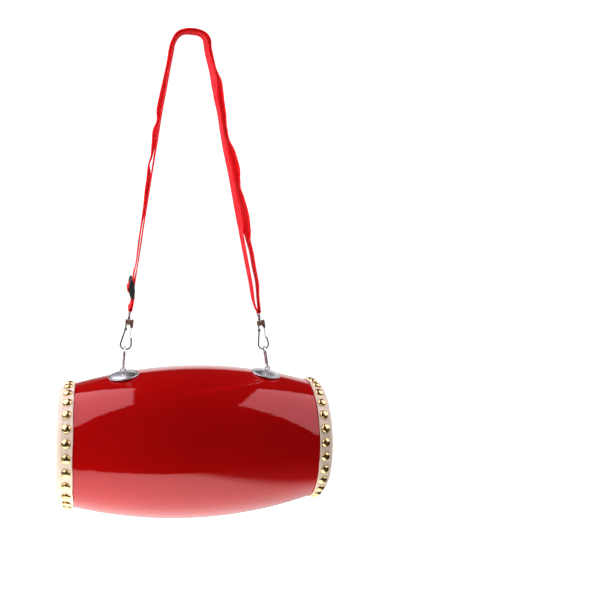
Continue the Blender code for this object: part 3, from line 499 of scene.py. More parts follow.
def arc(centre, radius, start, end, steps):
    """Points of a circular arc in a plane, both ends included."""
    turns = [start + (end - start) * i / steps for i in range(steps + 1)]
    return [(centre[0] + radius * math.cos(a), centre[1] + radius * math.sin(a)) for a in turns]


def touch_point(point, centre, radius, hand):
    """Where a line from a point touches a circle, on its left (1) or right (-1)."""
    to_centre = centre - point
    reach = math.sqrt(to_centre.length_squared - radius**2)
    lean = math.asin(radius / to_centre.length)
    return point + Matrix.Rotation(hand * lean, 2) @ to_centre.normalized() * reach


def weld(shape):
    """Merges doubled corners and turns all faces outwards."""
    bmesh.ops.remove_doubles(shape, verts=shape.verts, dist=WELD_REACH)
    bmesh.ops.recalc_face_normals(shape, faces=shape.faces)
    return shape


def soften(shape, offset, segments, sharper_than=math.radians(35)):
    """Rounds every edge at which two faces meet at more than the given angle."""
    inner = [edge for edge in shape.edges if len(edge.link_faces) == 2]
    sharp = [edge for edge in inner if edge.calc_face_angle() > sharper_than]
    bmesh.ops.bevel(
        shape, geom=sharp, offset=offset, segments=segments, profile=0.5, affect="EDGES",
        material=-1, clamp_overlap=True,
    )
    return shape


def turned(profile, steps, closed=False):
    """A profile of (radius, height) points, spun once round Z."""
    shape = bmesh.new()
    line = [shape.verts.new((radius, 0.0, height)) for radius, height in profile]
    edges = [shape.edges.new(pair) for pair in zip(line, line[1:])]
    if closed:
        edges.append(shape.edges.new((line[-1], line[0])))
    bmesh.ops.spin(
        shape, geom=line + edges, cent=(0, 0, 0), axis=(0, 0, 1), angle=FULL_TURN, steps=steps,
        use_merge=True,
    )
    return weld(shape)


def dome(radius, foot, rise, steps):
    """Profile of a round cap, from its crown down to its foot."""
    turns = [math.pi / 2 * i / steps for i in range(steps + 1)]
    return [(radius * math.sin(a), foot + rise * math.cos(a)) for a in turns]


def prism(outline, thickness):
    """An outline in the XY plane, given a thickness about that plane."""
    shape = bmesh.new()
    base = shape.faces.new([shape.verts.new((x, y, -thickness / 2)) for x, y in outline])
    grown = bmesh.ops.extrude_face_region(shape, geom=[base])["geom"]
    bmesh.ops.translate(shape, vec=(0.0, 0.0, thickness), verts=list(corners_in(grown)))
    return weld(shape)


def rod(radius, depth, sides):
    """A plain round bar along Z."""
    shape = bmesh.new()
    bmesh.ops.create_cone(shape, cap_ends=True, segments=sides, radius1=radius, radius2=radius, depth=depth)
    return shape


def moved(shape, place):
    bmesh.ops.transform(shape, matrix=place, verts=shape.verts)
    return shape


def corners_in(items):
    """The corners among what an operator on a shape gave back."""
    return {item for item in items if isinstance(item, bmesh.types.BMVert)}


def as_mesh(name, shape):
    """A mesh of a shape, which is used up."""
    mesh = bpy.data.meshes.new(name)
    shape.to_mesh(mesh)
    shape.free()
    return mesh


def placed(name, data):
    """A new object in the scene."""
    made = bpy.data.objects.new(name, data)
    bpy.context.scene.collection.objects.link(made)
    return made


class Wire:
    """A round wire, drawn in straight runs and bends that follow each other."""

    def __init__(self, start, heading, diameter):
        self.shape = bmesh.new()
        self.end = Vector(start)
        across = Vector(heading).to_track_quat("Z", "Y").to_matrix().to_4x4()
        place = Matrix.Translation(self.end) @ across
        bmesh.ops.create_circle(
            self.shape, cap_ends=False, segments=WIRE_SIDES, radius=diameter / 2, matrix=place
        )
        self.first = self.shape.edges[:]
        self.last = self.first

    def run(self, target):
        """Straight on to a point."""
        target = Vector(target)
        grown = bmesh.ops.extrude_edge_only(self.shape, edges=self.last)["geom"]
        fresh = corners_in(grown)
        bmesh.ops.translate(self.shape, vec=target - self.end, verts=list(fresh))
        self.last = list({edge for vert in fresh for edge in vert.link_edges if set(edge.verts) <= fresh})
        self.end = target

    def swell(self, factor):
        """Makes the wire thicker or thinner at its end."""
        rim = list({vert for edge in self.last for vert in edge.verts})
        bmesh.ops.scale(self.shape, vec=(factor,) * 3, space=Matrix.Translation(-self.end), verts=rim)

    def turn(self, centre, axis, sweep, steps):
        """A bend about an axis through a centre."""
        centre = Vector(centre)
        spun = bmesh.ops.spin(self.shape, geom=self.last, cent=centre, axis=axis, angle=sweep, steps=steps)
        self.last = [item for item in spun["geom_last"] if isinstance(item, bmesh.types.BMEdge)]
        self.end = centre + Matrix.Rotation(sweep, 3, axis) @ (self.end - centre)

    def round_corner(self, corner, target, radius, steps):
        """Straight on towards a corner, and round it towards a target."""
        back = (self.end - corner).normalized()
        ahead = (target - corner).normalized()
        half = back.angle(ahead) / 2
        self.run(corner + back * (radius / math.tan(half)))
        centre = corner + (back + ahead).normalized() * (radius / math.sin(half))
        self.turn(centre, ahead.cross(back).normalized() * -1, math.pi - 2 * half, steps)

    def capped(self, rounding):
        """Closes both ends and rounds their rims."""
        for rim in (self.first, self.last):
            bmesh.ops.edgeloop_fill(self.shape, edges=rim)
        weld(self.shape)
        return soften(self.shape, rounding, segments=3, sharper_than=math.radians(60))

    def joined(self):
        """Joins the two ends of a closed wire."""
        return weld(self.shape)


def carved(base, *steps):
    """A shape after others were joined to it ("UNION") or cut from it ("DIFFERENCE")."""
    helpers = [placed(name, as_mesh(name, shape)) for name, shape in [("base", base), *steps]]
    for helper, (operation, _) in zip(helpers[1:], steps):
        change = helpers[0].modifiers.new(operation, "BOOLEAN")
        change.operation = operation
        change.object = helper
        change.solver = "EXACT"
    bpy.context.view_layer.update()
    shown = helpers[0].evaluated_get(bpy.context.evaluated_depsgraph_get())
    result = bmesh.new()
    result.from_mesh(shown.to_mesh())
    shown.to_mesh_clear()
    for helper in helpers:
        mesh = helper.data
        bpy.data.objects.remove(helper, do_unlink=True)
        bpy.data.meshes.remove(mesh)
    if not result.faces:
        raise RuntimeError("a join or cut left nothing")
    return weld(result)


def as_piece(name, shape, finish, sharp_from=SHARP):
    """An object at the origin, with its place in its mesh."""
    for face in shape.faces:
        face.smooth = True
    mesh = as_mesh(name, shape)
    mesh.set_sharp_from_angle(angle=sharp_from)
    mesh.materials.append(finish)
    return placed(name, mesh)


def fitted(name, shape, finish, body, node, sharp_from=SHARP):
    """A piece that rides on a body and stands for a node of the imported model."""
    made = as_piece(name, shape, finish, sharp_from)
    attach(made, body)
    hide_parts(node)
    return made


def on_both_sides(piece, make, place_of, finish, body, node, sharp_from=SHARP):
    """The same piece for the left and the right; braces in the body's name stand for the side."""
    for hand in SIDES:
        shape = moved(make(), place_of(hand))
        fitted(f"{hand}_{piece}", shape, finish, body.format(hand), f"{hand}_{node}", sharp_from)


def hook_frame(hand):
    """A hook's own frame, at the bottom of its bowl and along its stem."""
    stem = JOINTS[f"{hand}_hook_swivel"]
    return standing(Vector(stem["pos_m"]), Vector(stem["axis"]))


def gate_frame(hand):
    """A gate's frame at its rivet, with its XY plane along the hook's outline."""
    pivot = Vector(JOINTS[f"{hand}_gate_hinge"]["pos_m"])
    return on_edge(standing(pivot, Vector(JOINTS[f"{hand}_hook_swivel"]["axis"])))


class Barrel:
    """The shell's outside: one circular arc from end to end, about the drum's middle."""

    def __init__(self):
        sizes = drum_sizes()
        low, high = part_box("drum_shell")
        self.centre = (low + high) / 2
        self.half = sizes.drum_length / 2 - sizes.skin_thickness - GAP
        sag = sizes.belly_radius - sizes.end_radius
        self.arc_radius = (self.half**2 + sag**2) / (2 * sag)
        self.belly = sizes.belly_radius

    def radius(self, x):
        return self.belly - self.arc_radius + math.sqrt(self.arc_radius**2 - x**2)

    def lean(self, x):
        return math.asin(x / self.arc_radius)

    def axis_frame(self, side):
        """Frame at the drum's middle whose Z axis runs out through one head."""
        return Matrix.Translation(self.centre) @ Matrix.Rotation(side * math.pi / 2, 4, "Y")

    def rim(self, extra, steps):
        """The rounded rim, or a surface that much outside it, from the end face to the side."""
        edge = drum_sizes().edge_round
        rise = self.half - edge
        return arc((self.radius(rise) - edge, rise), edge + extra, math.pi / 2, 0.0, steps)

    def plate_frame(self, hand):
        """Where a plate sits on top of the shell, with its Z axis square to it."""
        x = SIDES[hand] * fitting_sizes().plate_reach
        seat = self.centre + Vector((x, 0.0, self.radius(x)))
        return Matrix.Translation(seat) @ Matrix.Rotation(self.lean(x), 4, "Y")


def plate_lift():
    """Height of a plate's flat rim over the shell's crown."""
    reach = fitting_sizes().plate_radius
    bend = Barrel().arc_radius
    return GAP - (bend - math.sqrt(bend**2 - reach**2))


# A plate's edges sharper than this are shown as edges, so that its flat rim stands off its dome
PLATE_SHARP = math.radians(14)

# Eye pins: the gap between their legs, how far under the wall the legs spread and how wide, and their bends
EYE_LEG_GAP = 0.0004
EYE_LEG_PLAY = 0.0007
EYE_LEG_SPREAD = 0.007
EYE_LEG_BEND = 0.0012
EYE_NECK_BEND = 0.0008


def eye_leg_side():
    return (fitting_sizes().eye_wire + EYE_LEG_GAP) / 2


def eye_hole_radius():
    return eye_leg_side() + fitting_sizes().eye_wire / 2 + GAP


def eye_ring_rise():
    """Height of an eye ring's centre over the shell's crown."""
    sizes = fitting_sizes()
    seat = math.sqrt((sizes.eye_ring / 2) ** 2 - eye_hole_radius() ** 2)
    return plate_lift() + sizes.plate_dome + GAP + seat


class DRUM_OT_shell(bpy.types.Operator):
    """Turns the lacquered barrel and bores the holes for its eye pins"""

    bl_idname = "drum.shell"
    bl_label = "Shell"

    def execute(self, context):
        barrel = Barrel()
        sizes = drum_sizes()
        reach = barrel.half - sizes.edge_round
        side_steps, rim_steps, bore_steps, around = 72, 8, 24, 192
        rim = barrel.rim(0.0, rim_steps)
        side = [reach - 2 * reach * i / side_steps for i in range(1, side_steps)]
        outside = rim + [(barrel.radius(z), z) for z in side] + [(r, -z) for r, z in reversed(rim)]
        bore = [-barrel.half + 2 * barrel.half * i / bore_steps for i in range(bore_steps + 1)]
        inside = [(barrel.radius(z) - sizes.wall, z) for z in bore]
        shape = moved(turned(outside + inside, around, closed=True), barrel.axis_frame(1))
        holes = []
        for hand in SIDES:
            drill = rod(eye_hole_radius(), 4 * sizes.wall, sides=24)
            holes.append(("DIFFERENCE", moved(drill, barrel.plate_frame(hand))))
        shape = carved(shape, *holes)
        finish = finish_named("red lacquer", lacquer_finish)
        fitted("lacquered_shell", shape, finish, "drum", "drum_shell")
        return {"FINISHED"}


# Skins: how quickly their cut edge strays, how much quicker and weaker its finer waves are, how far apart
# the two skins' patterns lie, and how far along the shell the ripple reaches
WAVER_RATE = 3.2
WAVER_FINER = 2.7
WAVER_FINER_SHARE = 0.5
WAVER_APART = 7.0
PUCKER_REACH = 0.005

# Tacks: how far each may lean in radians, shrink and stray along the shell, its brim, and how far it is sunk
TACK_LEAN = 0.06
TACK_SMALLEST = 0.95
TACK_STRAY = 0.0002
TACK_BRIM = 0.0003
TACK_SINK = 0.0004


def tack_start(hand):
    """Where the first tack of a ring is, up from the front."""
    return getattr(drum_sizes(), f"{hand}_tack_start")


class DRUM_OT_skins(bpy.types.Operator):
    """Stretches a skin over each end, rippled a little along its tacks and cut unevenly"""

    bl_idname = "drum.skins"
    bl_label = "Skins"

    def execute(self, context):
        barrel = Barrel()
        sizes = drum_sizes()
        outer = GAP + sizes.skin_thickness
        low = barrel.half - sizes.skin_skirt
        high = barrel.half - sizes.edge_round
        skirt_steps, rim_steps, flat_steps = 12, 10, 14
        rim = barrel.rim(outer, rim_steps)
        flat = [(rim[0][0] * i / flat_steps, rim[0][1]) for i in range(flat_steps)]
        skirt = [high + (low - high) * i / skirt_steps for i in range(1, skirt_steps + 1)]
        profile = flat + rim + [(barrel.radius(z) + outer, z) for z in skirt]
        for hand, side in SIDES.items():
            shape = turned(profile, steps=8 * sizes.tack_count)
            for vert in shape.verts:
                around = math.atan2(vert.co.y, vert.co.x)
                drop = max(0.0, (high - vert.co.z) / (high - low))
                self.let_waver(vert, around, drop, side)
                self.pucker(vert, around, tack_start(hand), side, barrel)
            shape = moved(shape, barrel.axis_frame(side))
            finish = finish_named("drum skin", hide_finish)
            made = fitted(f"{hand}_skin", shape, finish, "drum", f"{hand}_head")
            thick = made.modifiers.new("thickness", "SOLIDIFY")
            thick.thickness = sizes.skin_thickness
            thick.offset = -1.0
            thick.use_even_offset = True
        return {"FINISHED"}

    @staticmethod
    def let_waver(vert, around, drop, side):
        """Lets the cut edge stray along the shell."""
        if drop > 0.0:
            spot = Vector((math.cos(around) * WAVER_RATE, math.sin(around) * WAVER_RATE, WAVER_APART * side))
            stray = noise.noise(spot) + WAVER_FINER_SHARE * noise.noise(spot * WAVER_FINER)
            vert.co.z += drop**2 * stray * drum_sizes().skirt_waver

    @staticmethod
    def pucker(vert, around, start, side, barrel):
        """Lets the skin ripple along its tacks, with one wave for each of them."""
        sizes = drum_sizes()
        middle = barrel.half - sizes.tack_inset
        near = math.exp(-(((vert.co.z - middle) / PUCKER_REACH) ** 2))
        turn = math.atan2(-math.cos(around), -side * math.sin(around))
        phase = math.cos((turn + math.pi / 2 - start) * sizes.tack_count)
        radius = math.hypot(vert.co.x, vert.co.y)
        if radius > sizes.end_radius / 2:
            share = 1.0 + near * phase * sizes.skin_pucker / radius
            vert.co.x *= share
            vert.co.y *= share


class DRUM_OT_tacks(bpy.types.Operator):
    """Drives a ring of domed brass tacks into each skin, none quite like the next"""

    bl_idname = "drum.tacks"
    bl_label = "Tacks"

    def execute(self, context):
        barrel = Barrel()
        sizes = drum_sizes()
        height = barrel.half - sizes.tack_inset
        radius = barrel.radius(height) + GAP + sizes.skin_thickness
        for hand, side in SIDES.items():
            hammer = random.Random(f"{hand} tacks")
            ring = bmesh.new()
            for i in range(sizes.tack_count):
                turn = tack_start(hand) + FULL_TURN * i / sizes.tack_count
                around = math.atan2(-math.cos(turn), -side * math.sin(turn))
                knock = Matrix.Rotation(hammer.uniform(-TACK_LEAN, TACK_LEAN), 4, "X")
                knock @= Matrix.Rotation(hammer.uniform(-TACK_LEAN, TACK_LEAN), 4, "Y")
                knock @= Matrix.Scale(hammer.uniform(TACK_SMALLEST, 1.0), 4)
                knock @= Matrix.Rotation(hammer.uniform(0.0, FULL_TURN), 4, "Z")
                seat = (
                    Matrix.Rotation(around, 4, "Z")
                    @ Matrix.Translation((radius, 0.0, height + hammer.uniform(-TACK_STRAY, TACK_STRAY)))
                    @ Matrix.Rotation(math.pi / 2 - barrel.lean(height), 4, "Y")
                )
                mesh = as_mesh("tack", moved(self.tack(), seat @ knock))
                ring.from_mesh(mesh)
                bpy.data.meshes.remove(mesh)
            ring = moved(ring, barrel.axis_frame(side))
            finish = finish_named("tack brass", brass_finish)
            fitted(f"{hand}_tacks", ring, finish, "drum", f"{hand}_head")
        return {"FINISHED"}

    @staticmethod
    def tack():
        """A dome with a thin brim that is sunk a little into the skin."""
        sizes = drum_sizes()
        radius = sizes.tack_radius
        profile = dome(0.96 * radius, TACK_BRIM, sizes.tack_height - TACK_BRIM, steps=9)
        profile += [(0.99 * radius, 0.8 * TACK_BRIM), (radius, 0.3 * TACK_BRIM)]
        profile += [(radius, -TACK_SINK), (0.0, -TACK_SINK)]
        return turned(profile, steps=24)


class DRUM_OT_plates(bpy.types.Operator):
    """Presses the domed plates that stand on the shell"""

    bl_idname = "drum.plates"
    bl_label = "Plates"

    def execute(self, context):
        finish = finish_named("plate steel")
        seat = Barrel().plate_frame
        on_both_sides("domed_plate", self.plate, seat, finish, "drum", "plate", PLATE_SHARP)
        return {"FINISHED"}

    @staticmethod
    def plate():
        sizes = fitting_sizes()
        hole = eye_hole_radius()
        foot = sizes.plate_radius - sizes.plate_flange
        rise = sizes.plate_dome - sizes.plate_thickness
        lift = plate_lift()
        dome_steps = 18
        shares = [i / dome_steps for i in range(dome_steps + 1)]
        radii = [hole + (foot - hole) * share for share in shares]
        heights = [lift + rise * (1 - share**2) for share in shares]
        over = [(r, z + sizes.plate_thickness) for r, z in zip(radii, heights)]
        under = list(zip(radii, heights))[::-1]
        rim = [(sizes.plate_radius, lift + sizes.plate_thickness), (sizes.plate_radius, lift)]
        return soften(turned(over + rim + under, steps=72, closed=True), offset=0.00035, segments=3)


class DRUM_OT_eye_pins(bpy.types.Operator):
    """Bends the split pins: a ring over each plate and two legs spread inside the shell"""

    bl_idname = "drum.eye_pins"
    bl_label = "Eye pins"

    def execute(self, context):
        finish = finish_named("eye pin steel")
        seat = Barrel().plate_frame
        on_both_sides("split_pin", self.pin, seat, finish, "drum", "eye_pin")
        return {"FINISHED"}

    @staticmethod
    def pin():
        sizes = fitting_sizes()
        side = eye_leg_side()
        ring = (sizes.eye_ring - sizes.eye_wire) / 2
        inside = -(drum_sizes().wall + EYE_LEG_PLAY + sizes.eye_wire / 2)
        rise = eye_ring_rise()
        neck_side = side + EYE_NECK_BEND
        neck_rise = rise - math.sqrt((ring + EYE_NECK_BEND) ** 2 - neck_side**2)
        sweep = math.atan2(rise - neck_rise, neck_side)
        knee = Vector((side, 0.0, inside))
        neck = Vector((side, 0.0, neck_rise))
        wire = Wire((side + EYE_LEG_SPREAD, 0.0, inside - GAP), (-1.0, 0.0, 0.0), sizes.eye_wire)
        wire.round_corner(knee, neck, EYE_LEG_BEND, steps=6)
        wire.run(neck)
        wire.turn((neck_side, 0.0, neck_rise), DEPTH, sweep, steps=6)
        wire.turn((0.0, 0.0, rise), DEPTH, -(math.pi + 2 * sweep), steps=40)
        wire.turn((-neck_side, 0.0, neck_rise), DEPTH, sweep, steps=6)
        left_knee = Vector((-side, 0.0, inside))
        left_end = Vector((-side - EYE_LEG_SPREAD, 0.0, inside - GAP))
        wire.round_corner(left_knee, left_end, EYE_LEG_BEND, steps=6)
        wire.run(left_end)
        return wire.capped(rounding=0.0002)


# The links' butt joint: how thin the wire is there, and half its length
BUTT_NECK = 0.9
BUTT_HALF = 0.00012


class DRUM_OT_links(bpy.types.Operator):
    """Bends the oval links, each with its butt joint in one of the long sides"""

    bl_idname = "drum.links"
    bl_label = "Links"

    def execute(self, context):
        finish = finish_named("link steel")
        on_both_sides("oval_link", self.link, self.place, finish, "{}_link", "link")
        return {"FINISHED"}

    @staticmethod
    def place(hand):
        """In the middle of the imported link, upright from there to its pivot."""
        low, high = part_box(f"{hand}_link")
        middle = (low + high) / 2
        return standing(middle, Vector(JOINTS[f"{hand}_link_swing"]["pos_m"]) - middle)

    @staticmethod
    def link():
        sizes = fitting_sizes()
        half = (sizes.link_width - sizes.link_wire) / 2
        reach = (sizes.link_length - sizes.link_width) / 2
        across = Vector((1.0, 0.0, 0.0))
        wire = Wire((0.0, half, 0.0), (0.0, 0.0, 1.0), sizes.link_wire)
        wire.swell(BUTT_NECK)
        wire.run((0.0, half, BUTT_HALF))
        wire.swell(1 / BUTT_NECK)
        wire.run((0.0, half, reach))
        wire.turn((0.0, 0.0, reach), across, math.pi, steps=24)
        wire.run((0.0, -half, -reach))
        wire.turn((0.0, 0.0, -reach), across, math.pi, steps=24)
        wire.run((0.0, half, -BUTT_HALF))
        wire.run((0.0, half, 0.0))
        wire.swell(BUTT_NECK)
        return wire.joined()


# Hooks, measured from the bottom of the bowl along the stem
HOOK_TIP = Vector((0.0047, 0.0126))
SPINE_KNEE = Vector((-0.00165, 0.024))
SPINE_BEND = 0.006
KNUCKLE_RISE = 0.0292
CRIMP_RISE = 0.0215
CRIMP_HALF = 0.0015
CRIMP_WALL = 0.0005
CRIMP_PLAY = 0.0001


def bowl_touches():
    """Where the hook's tip and its spine leave the round of the bowl."""
    bowl = fitting_sizes().hook_bowl
    centre = Vector((0.0, bowl))
    return touch_point(HOOK_TIP, centre, bowl, 1), touch_point(SPINE_KNEE, centre, bowl, -1)


def upright(place):
    """A place in the hook's outline as a point of its frame."""
    return Vector((place[0], 0.0, place[1]))


class DRUM_OT_hooks(bpy.types.Operator):
    """Bends the wire hooks and presses a sleeve on each spine"""

    bl_idname = "drum.hooks"
    bl_label = "Hooks"

    def execute(self, context):
        steel, pale = finish_named("hook steel"), finish_named("sleeve steel")
        on_both_sides("bent_hook", self.hook, hook_frame, steel, "{}_hook", "hook")
        on_both_sides("sleeve", self.sleeve, self.sleeve_frame, pale, "{}_hook", "crimp")
        return {"FINISHED"}

    @staticmethod
    def hook():
        sizes = fitting_sizes()
        tip_touch, spine_touch = bowl_touches()
        centre = Vector((0.0, sizes.hook_bowl))
        heading = tip_touch - HOOK_TIP
        wire = Wire(upright(HOOK_TIP), upright(heading), sizes.hook_wire)
        wire.run(upright(tip_touch))
        start = (tip_touch - centre).angle_signed(Vector((1.0, 0.0)))
        end = (spine_touch - centre).angle_signed(Vector((-1.0, 0.0)))
        wire.turn(upright(centre), DEPTH, math.pi + start - end, steps=36)
        knee = upright(SPINE_KNEE)
        top = upright((SPINE_KNEE.x, KNUCKLE_RISE))
        wire.round_corner(knee, top, SPINE_BEND, steps=6)
        wire.run(top)
        return wire.capped(rounding=0.0003)

    @staticmethod
    def sleeve():
        bore = fitting_sizes().hook_wire / 2 + CRIMP_PLAY
        outer = fitting_sizes().hook_wire / 2 + GAP + CRIMP_WALL
        profile = [(bore, CRIMP_HALF), (outer, CRIMP_HALF), (outer, -CRIMP_HALF), (bore, -CRIMP_HALF)]
        return soften(turned(profile, steps=32, closed=True), offset=0.0002, segments=3)

    @staticmethod
    def sleeve_frame(hand):
        """On the spine's slanting run, along it."""
        _, foot = bowl_touches()
        along = (SPINE_KNEE - foot).normalized()
        spot = foot + along * ((CRIMP_RISE - foot.y) / along.y)
        return hook_frame(hand) @ standing(upright(spot), upright(along))


# Knuckles: the tube from its left to its right end, its grooves, the ears under it, the rivet through them,
# the post in the tube, and the round of their edges
KNUCKLE_LEFT = -0.0029
KNUCKLE_RIGHT = 0.005
KNUCKLE_BORE = 0.002
GROOVE_COUNT = 3
GROOVE_DEPTH = 0.0004
GROOVE_WIDTH = 0.0006
EAR_THICKNESS = 0.0008
EAR_RADIUS = 0.00125
GATE_PIN_PLACE = Vector((0.0036, KNUCKLE_RISE - 0.0044))
GATE_PIN_RADIUS = 0.00045
RIVET_HEAD = 0.0009
RIVET_RISE = 0.0004
POST_RADIUS = 0.0008
POST_HEAD_LOW = 0.0005
POST_HEAD_RISE = 0.0008
SMALL_ROUND = 0.00012


class DRUM_OT_knuckles(bpy.types.Operator):
    """Turns the grooved tubes over the hooks, with the ears that hold the gates"""

    bl_idname = "drum.knuckles"
    bl_label = "Knuckles"

    def execute(self, context):
        finish = finish_named("knuckle steel")
        on_both_sides(
            "grooved_tube", self.knuckle, hook_frame, finish, "{}_hook", "knuckle"
        )
        return {"FINISHED"}

    def knuckle(self):
        radius = fitting_sizes().knuckle_radius
        across = Matrix.Translation((0.0, 0.0, KNUCKLE_RISE)) @ Matrix.Rotation(math.pi / 2, 4, "Y")
        tube = soften(turned(self.profile(), steps=40, closed=True), SMALL_ROUND, segments=2)
        tube = moved(tube, across)
        steps = [("UNION", self.ear(way)) for way in (-1, 1)]
        for side, bore, way in ((0.0, POST_RADIUS, 1), (SPINE_KNEE.x, fitting_sizes().hook_wire / 2, -1)):
            spot = Matrix.Translation((side, 0.0, KNUCKLE_RISE + way * radius))
            steps.append(("DIFFERENCE", moved(rod(bore + HOLE_PLAY, 2 * KNUCKLE_BORE, sides=20), spot)))
        return carved(tube, *steps)

    @staticmethod
    def profile():
        radius = fitting_sizes().knuckle_radius
        pitch = (KNUCKLE_RIGHT - KNUCKLE_LEFT) / (GROOVE_COUNT + 1)
        line = [(KNUCKLE_BORE, KNUCKLE_RIGHT), (radius, KNUCKLE_RIGHT)]
        for i in range(1, GROOVE_COUNT + 1):
            middle = KNUCKLE_RIGHT - i * pitch
            line.append((radius, middle + GROOVE_WIDTH))
            line.append((radius - GROOVE_DEPTH, middle + GROOVE_WIDTH / 2))
            line.append((radius - GROOVE_DEPTH, middle - GROOVE_WIDTH / 2))
            line.append((radius, middle - GROOVE_WIDTH))
        return line + [(radius, KNUCKLE_LEFT), (KNUCKLE_BORE, KNUCKLE_LEFT)]

    @staticmethod
    def ear(way):
        """A tab that reaches down from the tube to the gate's rivet."""
        side = fitting_sizes().gate_width / 2 + GAP + EAR_THICKNESS / 2
        wall = (fitting_sizes().knuckle_radius + KNUCKLE_BORE) / 2
        top = KNUCKLE_RISE - math.sqrt(wall**2 - (side - EAR_THICKNESS / 2) ** 2)
        tab = arc(GATE_PIN_PLACE, EAR_RADIUS, -math.pi, 0.0, steps=14)
        tab += [(GATE_PIN_PLACE.x + EAR_RADIUS, top), (GATE_PIN_PLACE.x - EAR_RADIUS, top)]
        shape = soften(prism(tab, EAR_THICKNESS), SMALL_ROUND, segments=2, sharper_than=math.radians(60))
        return moved(shape, on_edge(Matrix.Translation((0.0, way * side, 0.0))))


class DRUM_OT_gates(bpy.types.Operator):
    """Rolls the sprung gates and heads the rivets that they turn on"""

    bl_idname = "drum.gates"
    bl_label = "Gates"

    strip: length("Strip", 0.0005, "Thickness of the gates' spring steel")
    eyelet: length("Eyelet", 0.00115, "Radius of the roll round a rivet")
    lap: length("Lap", 0.001, "How far a gate reaches past the hook's tip")

    def execute(self, context):
        pale, dark = finish_named("gate steel"), finish_named("rivet steel")
        on_both_sides("spring_gate", self.gate, gate_frame, pale, "{}_gate", "gate")
        on_both_sides("rivet", self.rivet, gate_frame, dark, "{}_hook", "gate_pin")
        return {"FINISHED"}

    def gate(self):
        """A strip that hangs from its rolled end and rests inside the hook's tip."""
        end_side = HOOK_TIP.x - fitting_sizes().hook_wire / 2 - GAP - self.strip / 2
        tail = Vector((end_side, HOOK_TIP.y - self.lap)) - GATE_PIN_PLACE
        along = tail.normalized()
        across = along.orthogonal() * self.strip / 2
        heading = math.atan2(along.y, along.x)
        mouth = math.asin(self.strip / 2 / self.eyelet)
        outline = arc((0.0, 0.0), self.eyelet, heading + mouth, heading + FULL_TURN - mouth, steps=28)
        outline += [tuple(tail - across), tuple(tail + across)]
        width = fitting_sizes().gate_width
        shape = soften(prism(outline, width), offset=0.00008, segments=2, sharper_than=math.radians(60))
        return carved(shape, ("DIFFERENCE", rod(GATE_PIN_RADIUS + HOLE_PLAY, 2 * width, sides=24)))

    @staticmethod
    def rivet():
        """A pin with a domed head at both ends."""
        half = fitting_sizes().gate_width / 2 + 2 * GAP + EAR_THICKNESS
        side = dome(RIVET_HEAD, half, RIVET_RISE, steps=6) + [(GATE_PIN_RADIUS, half)]
        return turned(side + [(r, -z) for r, z in reversed(side)], steps=24)


class DRUM_OT_swivel_eyes(bpy.types.Operator):
    """Bends the strap's eyes and joins them to the headed posts that turn in the knuckles"""

    bl_idname = "drum.swivel_eyes"
    bl_label = "Swivel eyes"

    post_head: length("Post head", 0.00115, "Radius of the head inside a knuckle")
    collar: length("Collar", 0.0013, "Radius of the collar over a knuckle")
    collar_height: length("Collar height", 0.002, "From a knuckle to the eye's foot")
    eye_height: length("Eye height", 0.0095, "From the collar to the bar under the strap")
    eye_foot: length("Eye foot", 0.007, "Width of an eye over its collar")
    corner: length("Corner", 0.0016, "Bend of an eye's corners")
    side_play: length("Side play", 0.0004, "Between the strap's edges and the eye")

    def execute(self, context):
        finish = finish_named("eye steel")
        on_both_sides("strap_eye", self.eye, hook_frame, finish, "strap", "swivel_eye")
        return {"FINISHED"}

    def eye(self):
        sizes = fitting_sizes()
        head_low = KNUCKLE_RISE + POST_HEAD_LOW
        head_high = head_low + POST_HEAD_RISE
        low = KNUCKLE_RISE + sizes.knuckle_radius + 2 * GAP
        high = low + self.collar_height
        post = [
            (0.0, high), (self.collar, high), (self.collar, low), (POST_RADIUS, low),
            (POST_RADIUS, head_high), (self.post_head, head_high),
            (self.post_head, head_low), (0.0, head_low),
        ]
        shape = soften(turned(post, steps=28), SMALL_ROUND, segments=2)
        half = strap_sizes().width / 2 + self.side_play + self.corner
        foot = self.eye_foot / 2
        bar = high + self.eye_height
        shoulder = bar - self.eye_height / 2
        outline = [(half, bar), (-half, bar), (-half, shoulder)]
        outline += [(-foot, high), (foot, high), (half, shoulder)]
        corners = [Vector((0.0, y, z)) for y, z in outline]
        middle = Vector((0.0, 0.0, bar))
        wire = Wire(middle, (0.0, -1.0, 0.0), sizes.swivel_wire)
        stops = corners[1:] + corners[:1] + [middle]
        for corner, target in zip(stops, stops[1:]):
            wire.round_corner(corner, target, self.corner, steps=6)
        wire.run(middle)
        return carved(shape, ("UNION", wire.joined()))


class Leg:
    """The straight line from a strap eye up to the strap's top, and places measured from it."""

    def __init__(self, eye, top):
        self.eye = eye
        self.length = (top - eye).length
        self.up = (top - eye).normalized()
        self.right = Vector((self.up.z, 0.0, -self.up.x))

    def spot(self, side, rise, turn):
        """A point of the strap's route: its place and the webbing's turn in degrees."""
        return (self.eye + self.right * side + self.up * rise, turn)

    def wander(self, table):
        return [self.spot(side, share * self.length, turn) for share, side, turn in table]

    def bend(self, centre, radius, start, end, steps):
        """Part of a circle in the leg's own plane, as where webbing goes round a bar."""
        return [self.spot(side, rise, 0) for side, rise in arc(centre, radius, start, end, steps)]

    def rise_of(self, spot):
        return (spot[0] - self.eye).dot(self.up)

    def cut_spot(self, table, way):
        """Where a layer ends at the cut over the sliding stretch, above it (1) or below it (-1)."""
        rise = strap_sizes().cut
        share = rise / self.length
        for (low, side_low, turn_low), (high, side_high, turn_high) in zip(table, table[1:]):
            if low <= share <= high:
                part = (share - low) / (high - low)
                side = side_low + (side_high - side_low) * part
                return self.spot(side, rise + way * GAP / 2, turn_low + (turn_high - turn_low) * part)
        return self.spot(table[-1][1], rise + way * GAP / 2, table[-1][2])


